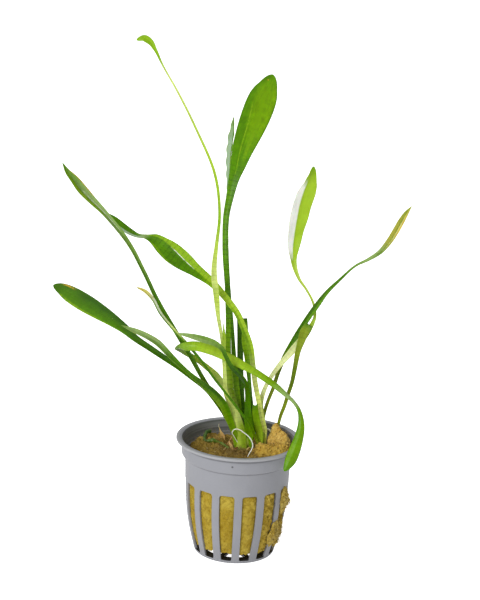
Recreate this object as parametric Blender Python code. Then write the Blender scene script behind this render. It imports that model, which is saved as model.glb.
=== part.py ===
"""A potted dwarf sagittaria: a grey net pot, its rock wool, two crowns and their leaves.

Metres, +Z up. The origin is the middle of the pot's underside, and the plant's front faces -Y.
"""

import math

import bmesh
import bpy
import numpy as np

MM = 0.001

# Net pot: turned wall, rim flange, slots between upright ribs, and an open floor with spokes.
POT_HEIGHT = 53.0 * MM
RIM_RADIUS = 28.0 * MM
RIM_THICKNESS = 1.2 * MM
MOUTH_RADIUS = 25.2 * MM
WALL = 1.0 * MM
COLLAR_RADIUS = 25.3 * MM
COLLAR_BOTTOM = 46.0 * MM
# Outer radius of the wall below the collar, at heights from the pot's underside.
WALL_HEIGHTS = (0.0, 0.5, 1.5, 5.5, 9.5, 13.5, 20.0, 27.0, 36.0, 45.6)
WALL_RADII = (17.8, 18.1, 18.4, 19.5, 20.5, 21.3, 22.5, 23.0, 23.4, 23.8)
FLOOR_THICKNESS = 1.2 * MM
SLOT_COUNT = 14
SLOT_BOTTOM = 1.5 * MM
SLOT_TOP = 34.4 * MM
SLOT_CORNER = 0.9 * MM
RIB_WIDTH = 3.9 * MM
RIB_PHASE = math.radians(1.9)
POT_SEGMENTS = 56
SPOKE_COUNT = 7
SPOKE_PHASE = RIB_PHASE + 2 * math.pi / SLOT_COUNT
SPOKE_WIDTH = 2.2 * MM
HUB_RADIUS = 5.5 * MM
FLOOR_RING_RADIUS = 13.4 * MM

# Rock wool: a felted plug inside the wall, and a loose torn lump on top of it.
WOOL_BOTTOM = 5.6 * MM
WOOL_TOP = 46.4 * MM
WOOL_CLEARANCE = 0.5 * MM
WOOL_SEGMENTS = 28
WOOL_LUMP = 0.35 * MM
TUFT_FOOT = 46.9 * MM
TUFT_MIDDLE = (15.5 * MM, 3.0 * MM)
# The outline of the lump's foot in millimetres, anticlockwise from +X.
TUFT_OUTLINE = [
    (23.2, 1.5), (22.9, 5.0), (21.8, 8.6), (20.0, 11.6), (17.6, 13.8), (15.2, 13.4), (14.1, 11.4),
    (13.8, 8.8), (13.5, 6.6), (12.2, 4.8), (10.2, 3.6), (8.6, 2.4), (8.0, 0.4), (8.6, -2.0),
    (10.4, -4.0), (13.0, -5.2), (16.0, -5.2), (19.0, -4.2), (21.6, -1.8),
]
TUFT_MOUND = 3.6 * MM
TUFT_PEAK = 6.2 * MM
TUFT_PEAK_AT = (17.6 * MM, 9.8 * MM)
TUFT_PEAK_SPREAD = 2.8 * MM

# Crowns, as rings of (x, y, z, half width, half depth) in millimetres.
CROWNS = {
    "crown_left": [
        (1.9, 6.5, 46.9, 2.4, 2.2),
        (1.9, 6.5, 48.4, 3.0, 2.8),
        (1.5, 6.5, 50.4, 3.4, 3.0),
        (0.8, 6.5, 52.0, 3.9, 3.2),
        (0.2, 6.6, 53.1, 4.2, 3.4),
    ],
    "crown_right": [
        (10.8, 9.6, 46.9, 2.0, 2.0),
        (10.7, 9.4, 48.4, 2.3, 2.4),
        (10.6, 9.2, 50.8, 2.5, 2.8),
        (10.4, 9.1, 53.1, 2.6, 3.0),
    ],
}
CROWN_SIDES = 14

# Leaves, as stations from the crown to the tip. Each is (x, y, z, width, thickness, turn, fold):
# millimetres, then degrees about the leaf's own line from facing FACING, then how far the edges
# stand up from the midrib, as a share of half the width.
FACING = (0.0, -0.932, 0.362)
RINGS_PER_STATION = 1.2
SECTION_STEPS = (-1.0, -0.5, 0.0, 0.5, 1.0)
LEAVES = {
    "leaf_tall_thin": [
        (-0.2, 6.5, 53.9, 1.8, 0.9, 15, 0.15),
        (-3.5, 5.6, 63.6, 1.85, 1.1, 15, 0.15),
        (-6.7, 4.6, 75.3, 1.7, 1.1, 20, 0.15),
        (-8.5, 3.5, 88.3, 1.65, 1.1, 20, 0.15),
        (-10.0, 2.1, 100.0, 1.7, 1, 20, 0.15),
        (-11.0, 0.8, 109.4, 1.85, 0.95, 35, 0.15),
        (-12.3, -0.6, 119.5, 2.85, 0.9, 10, 0.2),
        (-14.2, -2.5, 131.5, 2.65, 0.9, 10, 0.2),
        (-13.3, -5.1, 144.6, 1.7, 0.95, 20, 0.2),
        (-13.1, -8.1, 159.6, 1.3, 0.95, 20, 0.2),
        (-16.1, -12.1, 179.6, 1.25, 0.9, 20, 0.2),
        (-23.0, -15.7, 195.6, 1.1, 0.85, 20, 0.2),
        (-32.7, -19.6, 215.2, 0.95, 0.8, 20, 0.2),
        (-39.4, -21.8, 227.7, 0.85, 0.7, 20, 0.2),
        (-42.5, -22.7, 233.8, 1.55, 0.6, 20, 0.3),
        (-44.8, -23.2, 237.1, 2.7, 0.5, 10, 0.3),
        (-47.3, -23.6, 238.4, 2.25, 0.5, 10, 0.3),
        (-50.4, -23.6, 237.4, 0.25, 0.4, 10, 0.1),
    ],
    "leaf_tall_broad": [
        (1.4, 8.1, 53.9, 2.8, 1, 5, 0.15),
        (-1.2, 8.2, 63.2, 4.8, 1.4, 5, 0.15),
        (-2.8, 8.4, 71.7, 5.3, 1.5, 5, 0.15),
        (-4.7, 8.4, 82.6, 5.1, 1.5, 5, 0.15),
        (-5.6, 8.7, 92.9, 4.3, 1.5, 5, 0.15),
        (-6.6, 9.2, 104.0, 3.4, 1.4, 8, 0.15),
        (-8.1, 10.8, 119.2, 2.75, 1.3, 12, 0.15),
        (-9.4, 14.7, 138.8, 2.55, 1.3, 15, 0.15),
        (-9.8, 18.5, 151.5, 2.5, 1.2, 15, 0.15),
        (-9.2, 21.4, 158.5, 2.65, 1.1, 12, 0.15),
        (-7.9, 24.3, 166.0, 3.8, 0.9, 10, 0.15),
        (-6.1, 27.5, 172.4, 5.9, 0.7, 5, 0.15),
        (-4.3, 31.1, 178.8, 8.4, 0.6, 0, 0.12),
        (-1.6, 34.7, 186.2, 10.9, 0.55, -5, 0.12),
        (1.3, 38.3, 193.2, 12.2, 0.5, -10, 0.12),
        (4.1, 41.2, 199.5, 12.4, 0.5, -12, 0.12),
        (6.2, 43.0, 204.5, 8.0, 0.5, -15, 0.1),
        (7.6, 44.8, 209.5, 0.35, 0.4, -15, 0.1),
    ],
    "leaf_grey_narrow": [
        (0.6, 9.6, 53.8, 2, 0.9, 0, 0.15),
        (-1.8, 10.4, 67.6, 1.8, 1.2, 0, 0.15),
        (-3.7, 11.7, 86.2, 1.8, 1.2, 0, 0.15),
        (-5.3, 14.0, 102.4, 1.8, 1.2, 5, 0.15),
        (-7.9, 18.5, 120.1, 1.8, 1.1, 10, 0.15),
        (-9.7, 27.7, 141.8, 1.7, 1, 20, 0.2),
        (-10.3, 35.4, 158.1, 1.8, 0.8, 45, 0.4),
        (-10.4, 40.1, 166.1, 2.55, 0.7, 50, 0.5),
        (-10.4, 44.1, 172.4, 3.2, 0.6, 50, 0.5),
        (-10.3, 47.3, 177.5, 3.5, 0.55, 50, 0.5),
        (-9.8, 50.2, 182.3, 2.55, 0.5, 50, 0.5),
        (-9.2, 53.8, 186.8, 0.4, 0.4, 50, 0.2),
    ],
    "leaf_short_sheath": [
        (0.3, 5.0, 53.9, 1.5, 0.7, 20, 0.2),
        (-3.8, 3.9, 66.1, 1.65, 0.7, 20, 0.2),
        (-6.0, 3.1, 73.0, 1.65, 0.7, 20, 0.2),
        (-7.4, 2.2, 82.3, 1.55, 0.7, 20, 0.2),
        (-8.2, 1.2, 93.4, 1.55, 0.6, 20, 0.2),
        (-8.4, 0.3, 100.3, 1.35, 0.5, 20, 0.2),
        (-9.1, -0.6, 107.1, 0.3, 0.4, 20, 0.1),
    ],
    "leaf_far_left": [
        (-2.4, 7.0, 53.8, 1.7, 0.9, -20, 0.15),
        (-5.7, 6.8, 59.1, 1.9, 1.2, -20, 0.15),
        (-11.2, 5.8, 68.9, 2, 1.3, -20, 0.15),
        (-16.8, 4.2, 78.2, 2.1, 1.3, -20, 0.15),
        (-24.7, 1.2, 92.7, 2.1, 1.3, -20, 0.15),
        (-32.0, 0.1, 104.8, 2, 1.2, -20, 0.15),
        (-39.1, -1.0, 117.2, 1.95, 1.1, -20, 0.15),
        (-45.0, -3.4, 130.1, 1.9, 1, -20, 0.15),
        (-51.7, -6.4, 143.4, 2.1, 0.9, -20, 0.2),
        (-56.6, -8.5, 150.5, 2.5, 0.8, -20, 0.5),
        (-62.9, -11.0, 158.6, 2.8, 0.7, -25, 0.8),
        (-68.3, -12.8, 165.0, 3.4, 0.6, -25, 0.9),
        (-72.2, -14.2, 169.3, 3.8, 0.6, -25, 0.9),
        (-75.4, -15.7, 173.5, 3.4, 0.55, -25, 0.8),
        (-78.2, -16.8, 177.5, 2.1, 0.5, -25, 0.6),
        (-80.2, -17.8, 181.5, 0.3, 0.4, -25, 0.2),
    ],
    "leaf_spoon_middle": [
        (11.2, 8.3, 53.9, 2.4, 1.2, -10, 0.15),
        (9.3, 7.4, 61.6, 2.35, 1.4, -10, 0.15),
        (7.5, 6.8, 69.4, 2.45, 1.4, -10, 0.15),
        (5.4, 6.2, 79.1, 2.65, 1.4, -10, 0.15),
        (4.2, 5.8, 86.8, 2.9, 1.4, -10, 0.15),
        (2.6, 5.2, 95.4, 3.2, 1.3, -10, 0.15),
        (0.2, 4.6, 103.0, 3.2, 1.3, -5, 0.2),
        (-3.5, 3.9, 111.0, 3.1, 1.1, 0, 0.2),
        (-8.5, 3.4, 117.5, 3.6, 0.9, 0, 0.2),
        (-15.1, 3.3, 124.5, 4.3, 0.7, 0, 0.2),
        (-23.1, 3.1, 130.5, 6.1, 0.6, 5, 0.25),
        (-27.4, 3.3, 133.6, 8.2, 0.55, 10, 0.25),
        (-32.3, 3.6, 137.0, 9.4, 0.5, 10, 0.25),
        (-36.6, 3.5, 140.2, 8.2, 0.5, 10, 0.25),
        (-41.4, 3.1, 143.6, 5.1, 0.5, 15, 0.25),
        (-44.8, 2.7, 144.6, 1.55, 0.5, 30, 0.3),
        (-48.0, 2.7, 144.7, 1.65, 0.5, 10, 0.2),
        (-51.6, 3.1, 146.0, 2.45, 0.5, -10, 0.2),
        (-56.1, 3.4, 148.8, 2.8, 0.5, -15, 0.2),
        (-59.4, 3.8, 151.5, 1.85, 0.45, -15, 0.2),
        (-61.9, 4.1, 154.0, 0.3, 0.4, -15, 0.1),
    ],
    "leaf_cut_dark": [
        (2.9, 9.5, 53.8, 1.9, 0.9, 0, 0.15),
        (0.6, 11.6, 68.3, 2.05, 1.1, 0, 0.15),
        (-0.5, 12.0, 79.1, 2.35, 1.1, 0, 0.15),
        (-1.3, 12.3, 90.9, 2.7, 1.1, 0, 0.15),
        (-1.6, 12.7, 97.8, 2.8, 1, 0, 0.15),
        (-2.1, 13.2, 104.7, 2.5, 0.9, 0, 0.15),
    ],
    "leaf_cut_square": [
        (3.2, 6.7, 53.9, 1.7, 0.9, 0, 0.15),
        (4.0, 7.4, 67.1, 1.45, 1, 0, 0.15),
        (3.5, 8.0, 73.6, 1.6, 1, 0, 0.15),
        (2.8, 8.6, 81.0, 1.7, 1, 0, 0.15),
        (1.9, 9.1, 89.3, 2.15, 1, 0, 0.15),
        (0.9, 9.5, 96.7, 2.7, 0.9, 0, 0.15),
        (0.5, 9.6, 102.3, 2.45, 0.8, 0, 0.15),
        (0.1, 9.8, 106.6, 2.25, 0.8, 0, 0.15),
    ],
    "leaf_folded_left": [
        (2.9, 5.2, 53.9, 2, 1, 0, 0.15),
        (3.3, 4.6, 67.6, 2.25, 1.1, 0, 0.15),
        (3.2, 3.0, 73.7, 2.25, 1.2, 0, 0.15),
        (1.5, -1.4, 80.5, 2.25, 1.2, 0, 0.15),
        (-2.2, -6.2, 86.5, 2.45, 1.1, 0, 0.15),
        (-5.6, -9.1, 91.8, 2.45, 1, 0, 0.15),
        (-7.7, -10.7, 96.7, 2.35, 0.8, 0, 0.2),
        (-9.6, -11.9, 100.3, 2.25, 0.6, 0, 0.3),
        (-12.2, -12.6, 102.5, 2.35, 0.55, 0, 0.3),
        (-15.8, -13.0, 103.5, 2.6, 0.5, 0, 0.3),
        (-19.5, -13.5, 104.5, 2.35, 0.5, 0, 0.3),
        (-23.9, -14.0, 105.6, 1.6, 0.45, 0, 0.3),
        (-28.4, -14.4, 106.3, 0.25, 0.4, 0, 0.1),
    ],
    "leaf_long_loop": [
        (-1.7, 8.5, 53.8, 1.7, 0.9, 0, 0.15),
        (-4.6, 9.8, 63.9, 2, 1.1, 0, 0.15),
        (-7.1, 10.0, 70.4, 2.25, 1.1, 0, 0.15),
        (-10.4, 9.6, 76.8, 2.45, 1, 0, 0.15),
        (-15.3, 8.8, 81.9, 2.85, 0.9, 0, 0.15),
        (-20.8, 7.4, 86.4, 3.6, 0.7, 0, 0.15),
        (-25.3, 5.5, 89.8, 4.0, 0.6, 0, 0.15),
        (-28.6, 1.6, 93.0, 5.4, 0.5, 40, 0.1),
        (-29.4, -2.9, 95.4, 4.1, 0.5, 100, 0.1),
        (-26.8, -6.7, 97.9, 4.2, 0.5, 165, 0.15),
        (-20.8, -7.7, 98.7, 4.2, 0.5, 180, 0.15),
        (-14.6, -7.5, 97.2, 4.4, 0.5, 180, 0.2),
        (-8.5, -6.9, 94.6, 4.0, 0.5, 180, 0.2),
        (-3.8, -6.4, 92.3, 4.0, 0.5, 180, 0.2),
        (0.3, -6.1, 90.1, 3.7, 0.5, 180, 0.2),
        (5.3, -6.1, 87.6, 3.1, 0.5, 180, 0.2),
        (9.8, -6.3, 84.9, 2.95, 0.5, 180, 0.2),
        (15.2, -7.0, 81.0, 2.85, 0.5, 180, 0.2),
        (19.7, -8.0, 77.3, 2.35, 0.5, 180, 0.2),
        (23.1, -9.0, 74.9, 2, 0.5, 180, 0.2),
        (25.7, -10.0, 72.5, 1.8, 0.5, 180, 0.2),
        (26.9, -11.4, 68.2, 2.8, 0.5, 180, 0.2),
        (26.8, -13.0, 64.5, 3.5, 0.5, 180, 0.25),
        (26.2, -14.8, 61.1, 4.3, 0.5, 180, 0.25),
        (25.2, -16.8, 57.4, 4.7, 0.5, 180, 0.25),
        (23.9, -18.6, 53.6, 4.6, 0.5, 180, 0.25),
        (22.6, -20.2, 50.5, 3.5, 0.5, 180, 0.25),
        (21.1, -21.4, 46.7, 0.35, 0.4, 180, 0.1),
    ],
    "leaf_thin_yellow_tip": [
        (9.4, 5.6, 47.6, 1.9, 1.1, 0, 0.15),
        (7.8, 5.2, 50.8, 2.05, 1.2, 0, 0.15),
        (3.4, 2.4, 59.1, 2.05, 1.2, 0, 0.15),
        (0.8, 1.0, 63.7, 2, 1.2, 0, 0.15),
        (-5.1, -0.8, 72.6, 1.9, 1.1, 0, 0.15),
        (-11.6, -1.6, 81.0, 1.8, 1.1, 0, 0.15),
        (-18.5, -2.4, 90.3, 1.6, 1, 0, 0.15),
        (-25.3, -3.4, 98.4, 1.45, 0.9, 0, 0.15),
        (-30.7, -4.7, 104.6, 1.35, 0.8, 0, 0.15),
        (-36.7, -7.7, 112.8, 1.35, 0.7, 0, 0.2),
        (-40.8, -12.2, 121.5, 1.25, 0.6, 0, 0.2),
        (-43.6, -14.5, 125.3, 1.1, 0.5, 0, 0.2),
        (-47.0, -16.4, 127.2, 0.25, 0.4, 0, 0.1),
    ],
    "leaf_low_broad": [
        (-3.0, 5.3, 53.9, 1.5, 0.9, 0, 0.15),
        (-5.6, 4.8, 58.5, 1.8, 1.1, 0, 0.15),
        (-11.0, 3.4, 67.4, 2, 1.1, 0, 0.15),
        (-16.1, 1.4, 75.0, 2.05, 1.1, 0, 0.15),
        (-23.0, -1.2, 82.1, 2.25, 1.1, 0, 0.15),
        (-28.4, -3.4, 87.0, 2.45, 1.1, 0, 0.15),
        (-33.8, -5.4, 91.2, 2.5, 1.1, 0, 0.15),
        (-40.9, -8.6, 97.0, 2.8, 0.9, 0, 0.2),
        (-47.8, -12.0, 102.8, 3.1, 0.8, 0, 0.2),
        (-52.1, -14.1, 106.8, 3.9, 0.7, 5, 0.2),
        (-57.3, -16.5, 111.3, 5.5, 0.55, 10, 0.2),
        (-63.4, -19.7, 116.2, 7.3, 0.5, 15, 0.2),
        (-69.5, -23.2, 121.2, 8.1, 0.5, 15, 0.2),
        (-74.5, -26.3, 125.4, 7.3, 0.5, 15, 0.2),
        (-78.8, -28.5, 128.7, 4.7, 0.5, 15, 0.2),
        (-82.4, -30.1, 130.8, 0.35, 0.4, 15, 0.1),
    ],
    "leaf_low_narrow": [
        (-1.9, 4.0, 53.9, 2.2, 0.9, 0, 0.15),
        (-4.5, 3.0, 60.7, 3.8, 1.1, 0, 0.15),
        (-7.9, 1.0, 68.4, 4.0, 1.3, 0, 0.15),
        (-13.4, -1.2, 75.6, 3.6, 1.3, 0, 0.15),
        (-18.4, -3.0, 80.3, 2.35, 1.1, 0, 0.15),
        (-23.0, -4.5, 84.4, 1.7, 1, 0, 0.15),
        (-28.9, -7.0, 90.6, 2.05, 0.9, 0, 0.25),
        (-32.9, -9.4, 95.4, 2.6, 0.8, 0, 0.4),
        (-37.6, -12.5, 101.0, 2.7, 0.7, 0, 0.5),
        (-41.1, -14.6, 103.9, 2.5, 0.6, 0, 0.5),
        (-44.8, -16.4, 106.4, 2.25, 0.55, 0, 0.5),
        (-48.4, -17.9, 108.2, 1.9, 0.5, 0, 0.4),
        (-53.1, -19.6, 110.5, 0.25, 0.4, 0, 0.1),
    ],
    "leaf_bright_spoon": [
        (11.9, 9.9, 53.9, 1.9, 1, 10, 0.15),
        (11.0, 9.6, 59.9, 1.8, 1.1, 10, 0.15),
        (10.1, 9.2, 66.8, 1.75, 1.1, 10, 0.15),
        (10.8, 8.8, 74.1, 1.65, 1.1, 10, 0.15),
        (13.1, 8.4, 80.1, 1.55, 1, 10, 0.15),
        (16.8, 8.2, 86.2, 2.25, 0.9, 0, 0.15),
        (20.2, 8.3, 90.7, 2.85, 0.8, 0, 0.15),
        (23.1, 8.5, 94.6, 3.2, 0.8, 0, 0.15),
        (26.4, 9.2, 99.0, 3.1, 0.9, 0, 0.15),
        (29.3, 10.3, 103.5, 2.25, 0.9, 0, 0.15),
        (31.2, 11.7, 108.3, 1.35, 1, 0, 0.15),
        (30.3, 13.1, 113.8, 1.1, 1, 0, 0.15),
        (26.9, 15.1, 119.6, 1.05, 1, 0, 0.15),
        (23.5, 17.0, 123.9, 1.15, 1, 0, 0.15),
        (21.6, 18.8, 128.2, 1.7, 0.9, 0, 0.2),
        (20.6, 20.5, 131.8, 2.55, 0.8, -10, 0.35),
        (20.1, 21.5, 135.5, 4.7, 0.6, -15, 0.4),
        (20.5, 23.0, 141.0, 6.2, 0.55, -20, 0.4),
        (21.5, 24.3, 148.5, 7.7, 0.5, -20, 0.4),
        (22.6, 25.0, 155.3, 8.4, 0.5, -20, 0.4),
        (24.3, 25.7, 161.7, 8.0, 0.5, -20, 0.4),
        (25.7, 26.1, 166.2, 6.2, 0.5, -20, 0.35),
        (26.8, 26.4, 169.8, 3.8, 0.5, -20, 0.3),
        (27.3, 26.8, 173.4, 0.3, 0.4, -20, 0.1),
    ],
    "leaf_right_dark": [
        (10.3, 11.2, 53.9, 1.6, 0.9, 0, 0.15),
        (11.5, 11.4, 62.6, 1.55, 1.1, 0, 0.15),
        (12.9, 11.8, 67.9, 1.6, 1.2, 0, 0.15),
        (14.6, 12.0, 73.7, 1.7, 1.2, 0, 0.15),
        (16.3, 12.0, 81.4, 1.9, 1.2, 0, 0.15),
        (18.5, 12.2, 88.1, 2.25, 1.1, 0, 0.15),
        (21.3, 12.0, 94.3, 2.5, 1.1, 0, 0.15),
        (26.5, 10.7, 105.0, 2.5, 1, 0, 0.15),
        (32.0, 9.0, 115.0, 2.45, 1, 0, 0.15),
        (35.0, 7.0, 120.5, 2, 1, 0, 0.15),
        (41.1, 2.1, 129.6, 1.45, 0.9, 0, 0.15),
        (47.6, -3.3, 138.1, 1.45, 0.8, 0, 0.2),
        (52.3, -7.0, 141.9, 1.8, 0.7, 10, 0.5),
        (57.3, -11.2, 147.1, 2.05, 0.6, 15, 0.7),
        (60.3, -14.6, 152.5, 2.4, 0.55, 15, 0.8),
        (62.9, -17.8, 158.3, 2.75, 0.5, 15, 0.8),
        (65.0, -20.7, 163.8, 2.85, 0.5, 15, 0.7),
        (67.0, -23.2, 168.6, 1.75, 0.5, 15, 0.5),
        (68.5, -25.4, 172.2, 0.3, 0.4, 15, 0.1),
    ],
    "leaf_cut_right": [
        (17.3, 12.6, 52.0, 1.25, 1, 0, 0.15),
        (17.5, 12.2, 55.5, 1.25, 1, 0, 0.15),
        (18.4, 11.6, 60.8, 1.3, 1, 0, 0.15),
        (19.8, 11.0, 65.6, 1.45, 1, 0, 0.15),
        (20.9, 10.4, 70.5, 1.45, 1, 0, 0.15),
        (22.6, 9.2, 77.9, 1.45, 0.95, 0, 0.15),
        (23.3, 8.0, 85.1, 1.65, 0.9, 0, 0.15),
        (24.4, 6.6, 94.2, 2.1, 0.9, 0, 0.15),
        (25.6, 6.3, 99.0, 2.7, 0.85, 0, 0.2),
        (26.8, 6.3, 103.5, 3.5, 0.8, 0, 0.2),
        (28.6, 6.2, 106.3, 2.7, 0.7, 0, 0.2),
    ],
    "leaf_stump": [
        (9.0, 6.7, 53.9, 2.2, 1, 10, 0.15),
        (8.6, 6.1, 57.3, 2.3, 1.1, 10, 0.15),
        (7.8, 5.6, 60.8, 2.45, 1, 10, 0.2),
        (6.9, 5.1, 65.0, 2.35, 0.9, 10, 0.2),
        (6.2, 5.0, 68.1, 1.65, 0.7, 10, 0.2),
    ],
}

# Thin round things, as routes in millimetres.
ROOT_DIAMETER = 0.5 * MM
ROOT_ROUTE = [
    (-0.3, 3.8, 49.0), (-1.8, 2.6, 52.4), (-3.1, 1.6, 55.4), (-2.5, 1.2, 56.6), (-1.3, 0.8, 57.3),
    (0.3, 0.4, 57.1), (2.3, 0.0, 55.9), (4.4, -0.6, 54.5), (5.7, -1.0, 52.8), (6.4, -1.6, 50.6),
    (5.9, -2.6, 49.0), (4.8, -3.8, 47.3),
]
SCRAP_STATIONS = [
    (-7.8, 12.0, 47.3, 1.6, 0.4, 0, 0.2),
    (-7.2, 12.2, 49.3, 1.9, 0.4, 10, 0.2),
    (-8.0, 12.4, 51.4, 1.2, 0.4, 20, 0.2),
    (-9.5, 12.8, 54.2, 0.4, 0.4, 20, 0.1),
]

# Base colour, roughness and metallic value of each kind of surface.
FINISHES = {
    "grey_plastic": ((0.34, 0.35, 0.37), 0.45),
    "wool_gold": ((0.42, 0.30, 0.07), 0.95),
    "wool_pale": ((0.50, 0.36, 0.11), 0.95),
    "leaf_green": ((0.12, 0.28, 0.02), 0.45),
    "leaf_bright": ((0.40, 0.55, 0.06), 0.45),
    "sheath_green": ((0.32, 0.48, 0.08), 0.45),
    "root_white": ((0.80, 0.78, 0.62), 0.5),
    "dry_tan": ((0.55, 0.38, 0.14), 0.8),
}
BRIGHT_LEAVES = ("leaf_bright_spoon", "leaf_tall_thin", "leaf_short_sheath")


def clear_scene():
    """Removes every object that is there when the script starts."""
    for item in list(bpy.data.objects):
        bpy.data.objects.remove(item, do_unlink=True)


def finish_of(name):
    """The material of that finish, made on first use."""
    found = bpy.data.materials.get(name)
    if found:
        return found
    colour, roughness = FINISHES[name]
    made = bpy.data.materials.new(name)
    made.use_nodes = True
    shader = made.node_tree.nodes["Principled BSDF"]
    shader.inputs["Base Color"].default_value = (*colour, 1.0)
    shader.inputs["Roughness"].default_value = roughness
    shader.inputs["Metallic"].default_value = 0.0
    return made


def object_from(name, shape, finish, smooth=True):
    """A linked object from a bmesh, with its faces turned outwards."""
    bmesh.ops.recalc_face_normals(shape, faces=shape.faces)
    mesh = bpy.data.meshes.new(name)
    shape.to_mesh(mesh)
    shape.free()
    if smooth:
        mesh.shade_smooth()
        mesh.set_sharp_from_angle(angle=math.radians(40))
    made = bpy.data.objects.new(name, mesh)
    mesh.materials.append(finish_of(finish))
    bpy.context.scene.collection.objects.link(made)
    return made


def closed_tube(name, rings, finish):
    """A closed skin over rings of points, an array of rings x points x 3, with flat ends."""
    shape = bmesh.new()
    made = [[shape.verts.new(point) for point in ring] for ring in rings]
    count = len(made[0])
    for lower, upper in zip(made[:-1], made[1:]):
        for i in range(count):
            j = (i + 1) % count
            shape.faces.new((lower[i], lower[j], upper[j], upper[i]))
    shape.faces.new(made[0][::-1])
    shape.faces.new(made[-1])
    return object_from(name, shape, finish)


def smooth_through(rows, count):
    """Points on a smooth curve through the rows, as a Hermite spline on chord length.

    The samples are spread evenly over the rows, so that close rows get more of them.
    """
    rows = np.array(rows, float)
    chord = np.linalg.norm(np.diff(rows[:, :3], axis=0), axis=1)
    along = np.concatenate([[0.0], np.cumsum(chord)])
    slopes = np.diff(rows, axis=0) / chord[:, None]
    share = (chord[:-1] / (chord[:-1] + chord[1:]))[:, None]
    inner = slopes[:-1] * (1 - share) + slopes[1:] * share
    tangents = np.vstack([slopes[:1], inner, slopes[-1:]])
    place = np.linspace(0, len(rows) - 1, count)
    k = np.minimum(place.astype(int), len(rows) - 2)
    t = (place - k)[:, None]
    step = (along[k + 1] - along[k])[:, None]
    start = (2 * t**3 - 3 * t**2 + 1) * rows[k] + (t**3 - 2 * t**2 + t) * step * tangents[k]
    end = (3 * t**2 - 2 * t**3) * rows[k + 1] + (t**3 - t**2) * step * tangents[k + 1]
    return start + end


def unit(vectors):
    """The vectors at length one."""
    return vectors / np.linalg.norm(vectors, axis=1)[:, None]


def leaf_rings(stations):
    """The cross-sections of a leaf: a crescent whose edges are thin and whose back is rounded."""
    count = math.ceil(RINGS_PER_STATION * len(stations))
    values = smooth_through(stations, count)
    centre = values[:, :3] * MM
    half = np.maximum(values[:, 3], 0.2) / 2 * MM
    thickness = np.maximum(values[:, 4], 0.35) * MM
    turn = np.radians(values[:, 5])[:, None]
    fold = values[:, 6]
    along = unit(np.gradient(centre, axis=0))
    side = unit(np.cross(along, np.array(FACING)))
    face = np.cross(side, along)
    across = side * np.cos(turn) + face * np.sin(turn)
    out = face * np.cos(turn) - side * np.sin(turn)
    steps = np.array(SECTION_STEPS + SECTION_STEPS[-2:0:-1])
    under = np.arange(len(steps)) >= len(SECTION_STEPS)
    rise = np.outer(fold * half, np.abs(steps) - 0.4)
    depth = np.outer(thickness, (1 - steps**2)) * under
    offset = rise - depth + np.outer(thickness, 0.5 * np.ones(len(steps)))
    wide = np.outer(half, steps)
    return centre[:, None] + across[:, None] * wide[..., None] + out[:, None] * offset[..., None]


def make_leaf(name, stations):
    """One leaf, petiole and blade, as one closed solid."""
    finish = "leaf_bright" if name in BRIGHT_LEAVES else "leaf_green"
    return closed_tube(name, leaf_rings(stations), finish)


def make_crown(name, rings):
    """The clasped leaf bases of one rosette, as a short body of elliptical rings."""
    angle = np.linspace(0, 2 * math.pi, CROWN_SIDES, endpoint=False)
    rows = np.array(rings) * MM
    x = rows[:, 0:1] + rows[:, 3:4] * np.cos(angle)
    y = rows[:, 1:2] + rows[:, 4:5] * np.sin(angle)
    z = rows[:, 2:3] + 0 * angle
    return closed_tube(name, np.stack([x, y, z], axis=-1), "sheath_green")


def wall_radius(height):
    """Outer radius of the pot's wall at a height below the collar."""
    return np.interp(height / MM, WALL_HEIGHTS, WALL_RADII) * MM


def pot_profile():
    """The pot's turned section as (radius, height), down the outside and up the inside."""
    rim_bottom = POT_HEIGHT - RIM_THICKNESS
    outside = [
        (RIM_RADIUS - 0.4 * MM, POT_HEIGHT),
        (RIM_RADIUS, POT_HEIGHT - 0.4 * MM),
        (RIM_RADIUS - 0.1 * MM, rim_bottom),
        (COLLAR_RADIUS + 0.4 * MM, rim_bottom),
        (COLLAR_RADIUS, rim_bottom - 0.5 * MM),
        (COLLAR_RADIUS, COLLAR_BOTTOM + 0.5 * MM),
        (COLLAR_RADIUS - 0.5 * MM, COLLAR_BOTTOM),
    ]
    heights = np.array(WALL_HEIGHTS[::-1]) * MM
    outside += [(wall_radius(h), h) for h in heights]
    inner_heights = np.array((FLOOR_THICKNESS / MM, 13.5, 20.0, 27.0, 45.2)) * MM
    inside = [(wall_radius(h) - WALL, h) for h in inner_heights]
    inside += [
        (COLLAR_RADIUS - WALL, COLLAR_BOTTOM + 1.0 * MM),
        (MOUTH_RADIUS - 0.2 * MM, rim_bottom),
        (MOUTH_RADIUS, POT_HEIGHT - 0.3 * MM),
        (MOUTH_RADIUS + 0.3 * MM, POT_HEIGHT),
    ]
    return outside, inside


def turned_pot():
    """The pot before its slots are cut: a turned wall, rim and floor."""
    outside, inside = pot_profile()
    angle = np.linspace(0, 2 * math.pi, POT_SEGMENTS, endpoint=False) + RIB_PHASE - math.pi / 2
    shape = bmesh.new()
    profile = outside + inside
    rings = [
        [shape.verts.new((r * math.cos(a), r * math.sin(a), h)) for a in angle]
        for r, h in profile
    ]
    turn = len(outside)
    for k in range(len(rings)):
        if k == turn - 1:
            continue
        lower, upper = rings[k], rings[(k + 1) % len(rings)]
        for i in range(POT_SEGMENTS):
            j = (i + 1) % POT_SEGMENTS
            shape.faces.new((lower[i], lower[j], upper[j], upper[i]))
    shape.faces.new(rings[turn - 1])
    shape.faces.new(rings[turn])
    return object_from("net_pot", shape, "grey_plastic")


def direction(angle):
    """The unit vector at an angle from the front, turning towards +X, and the one across it."""
    outward = np.array((math.sin(angle), -math.cos(angle)))
    return outward, np.array((math.cos(angle), math.sin(angle)))


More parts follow.
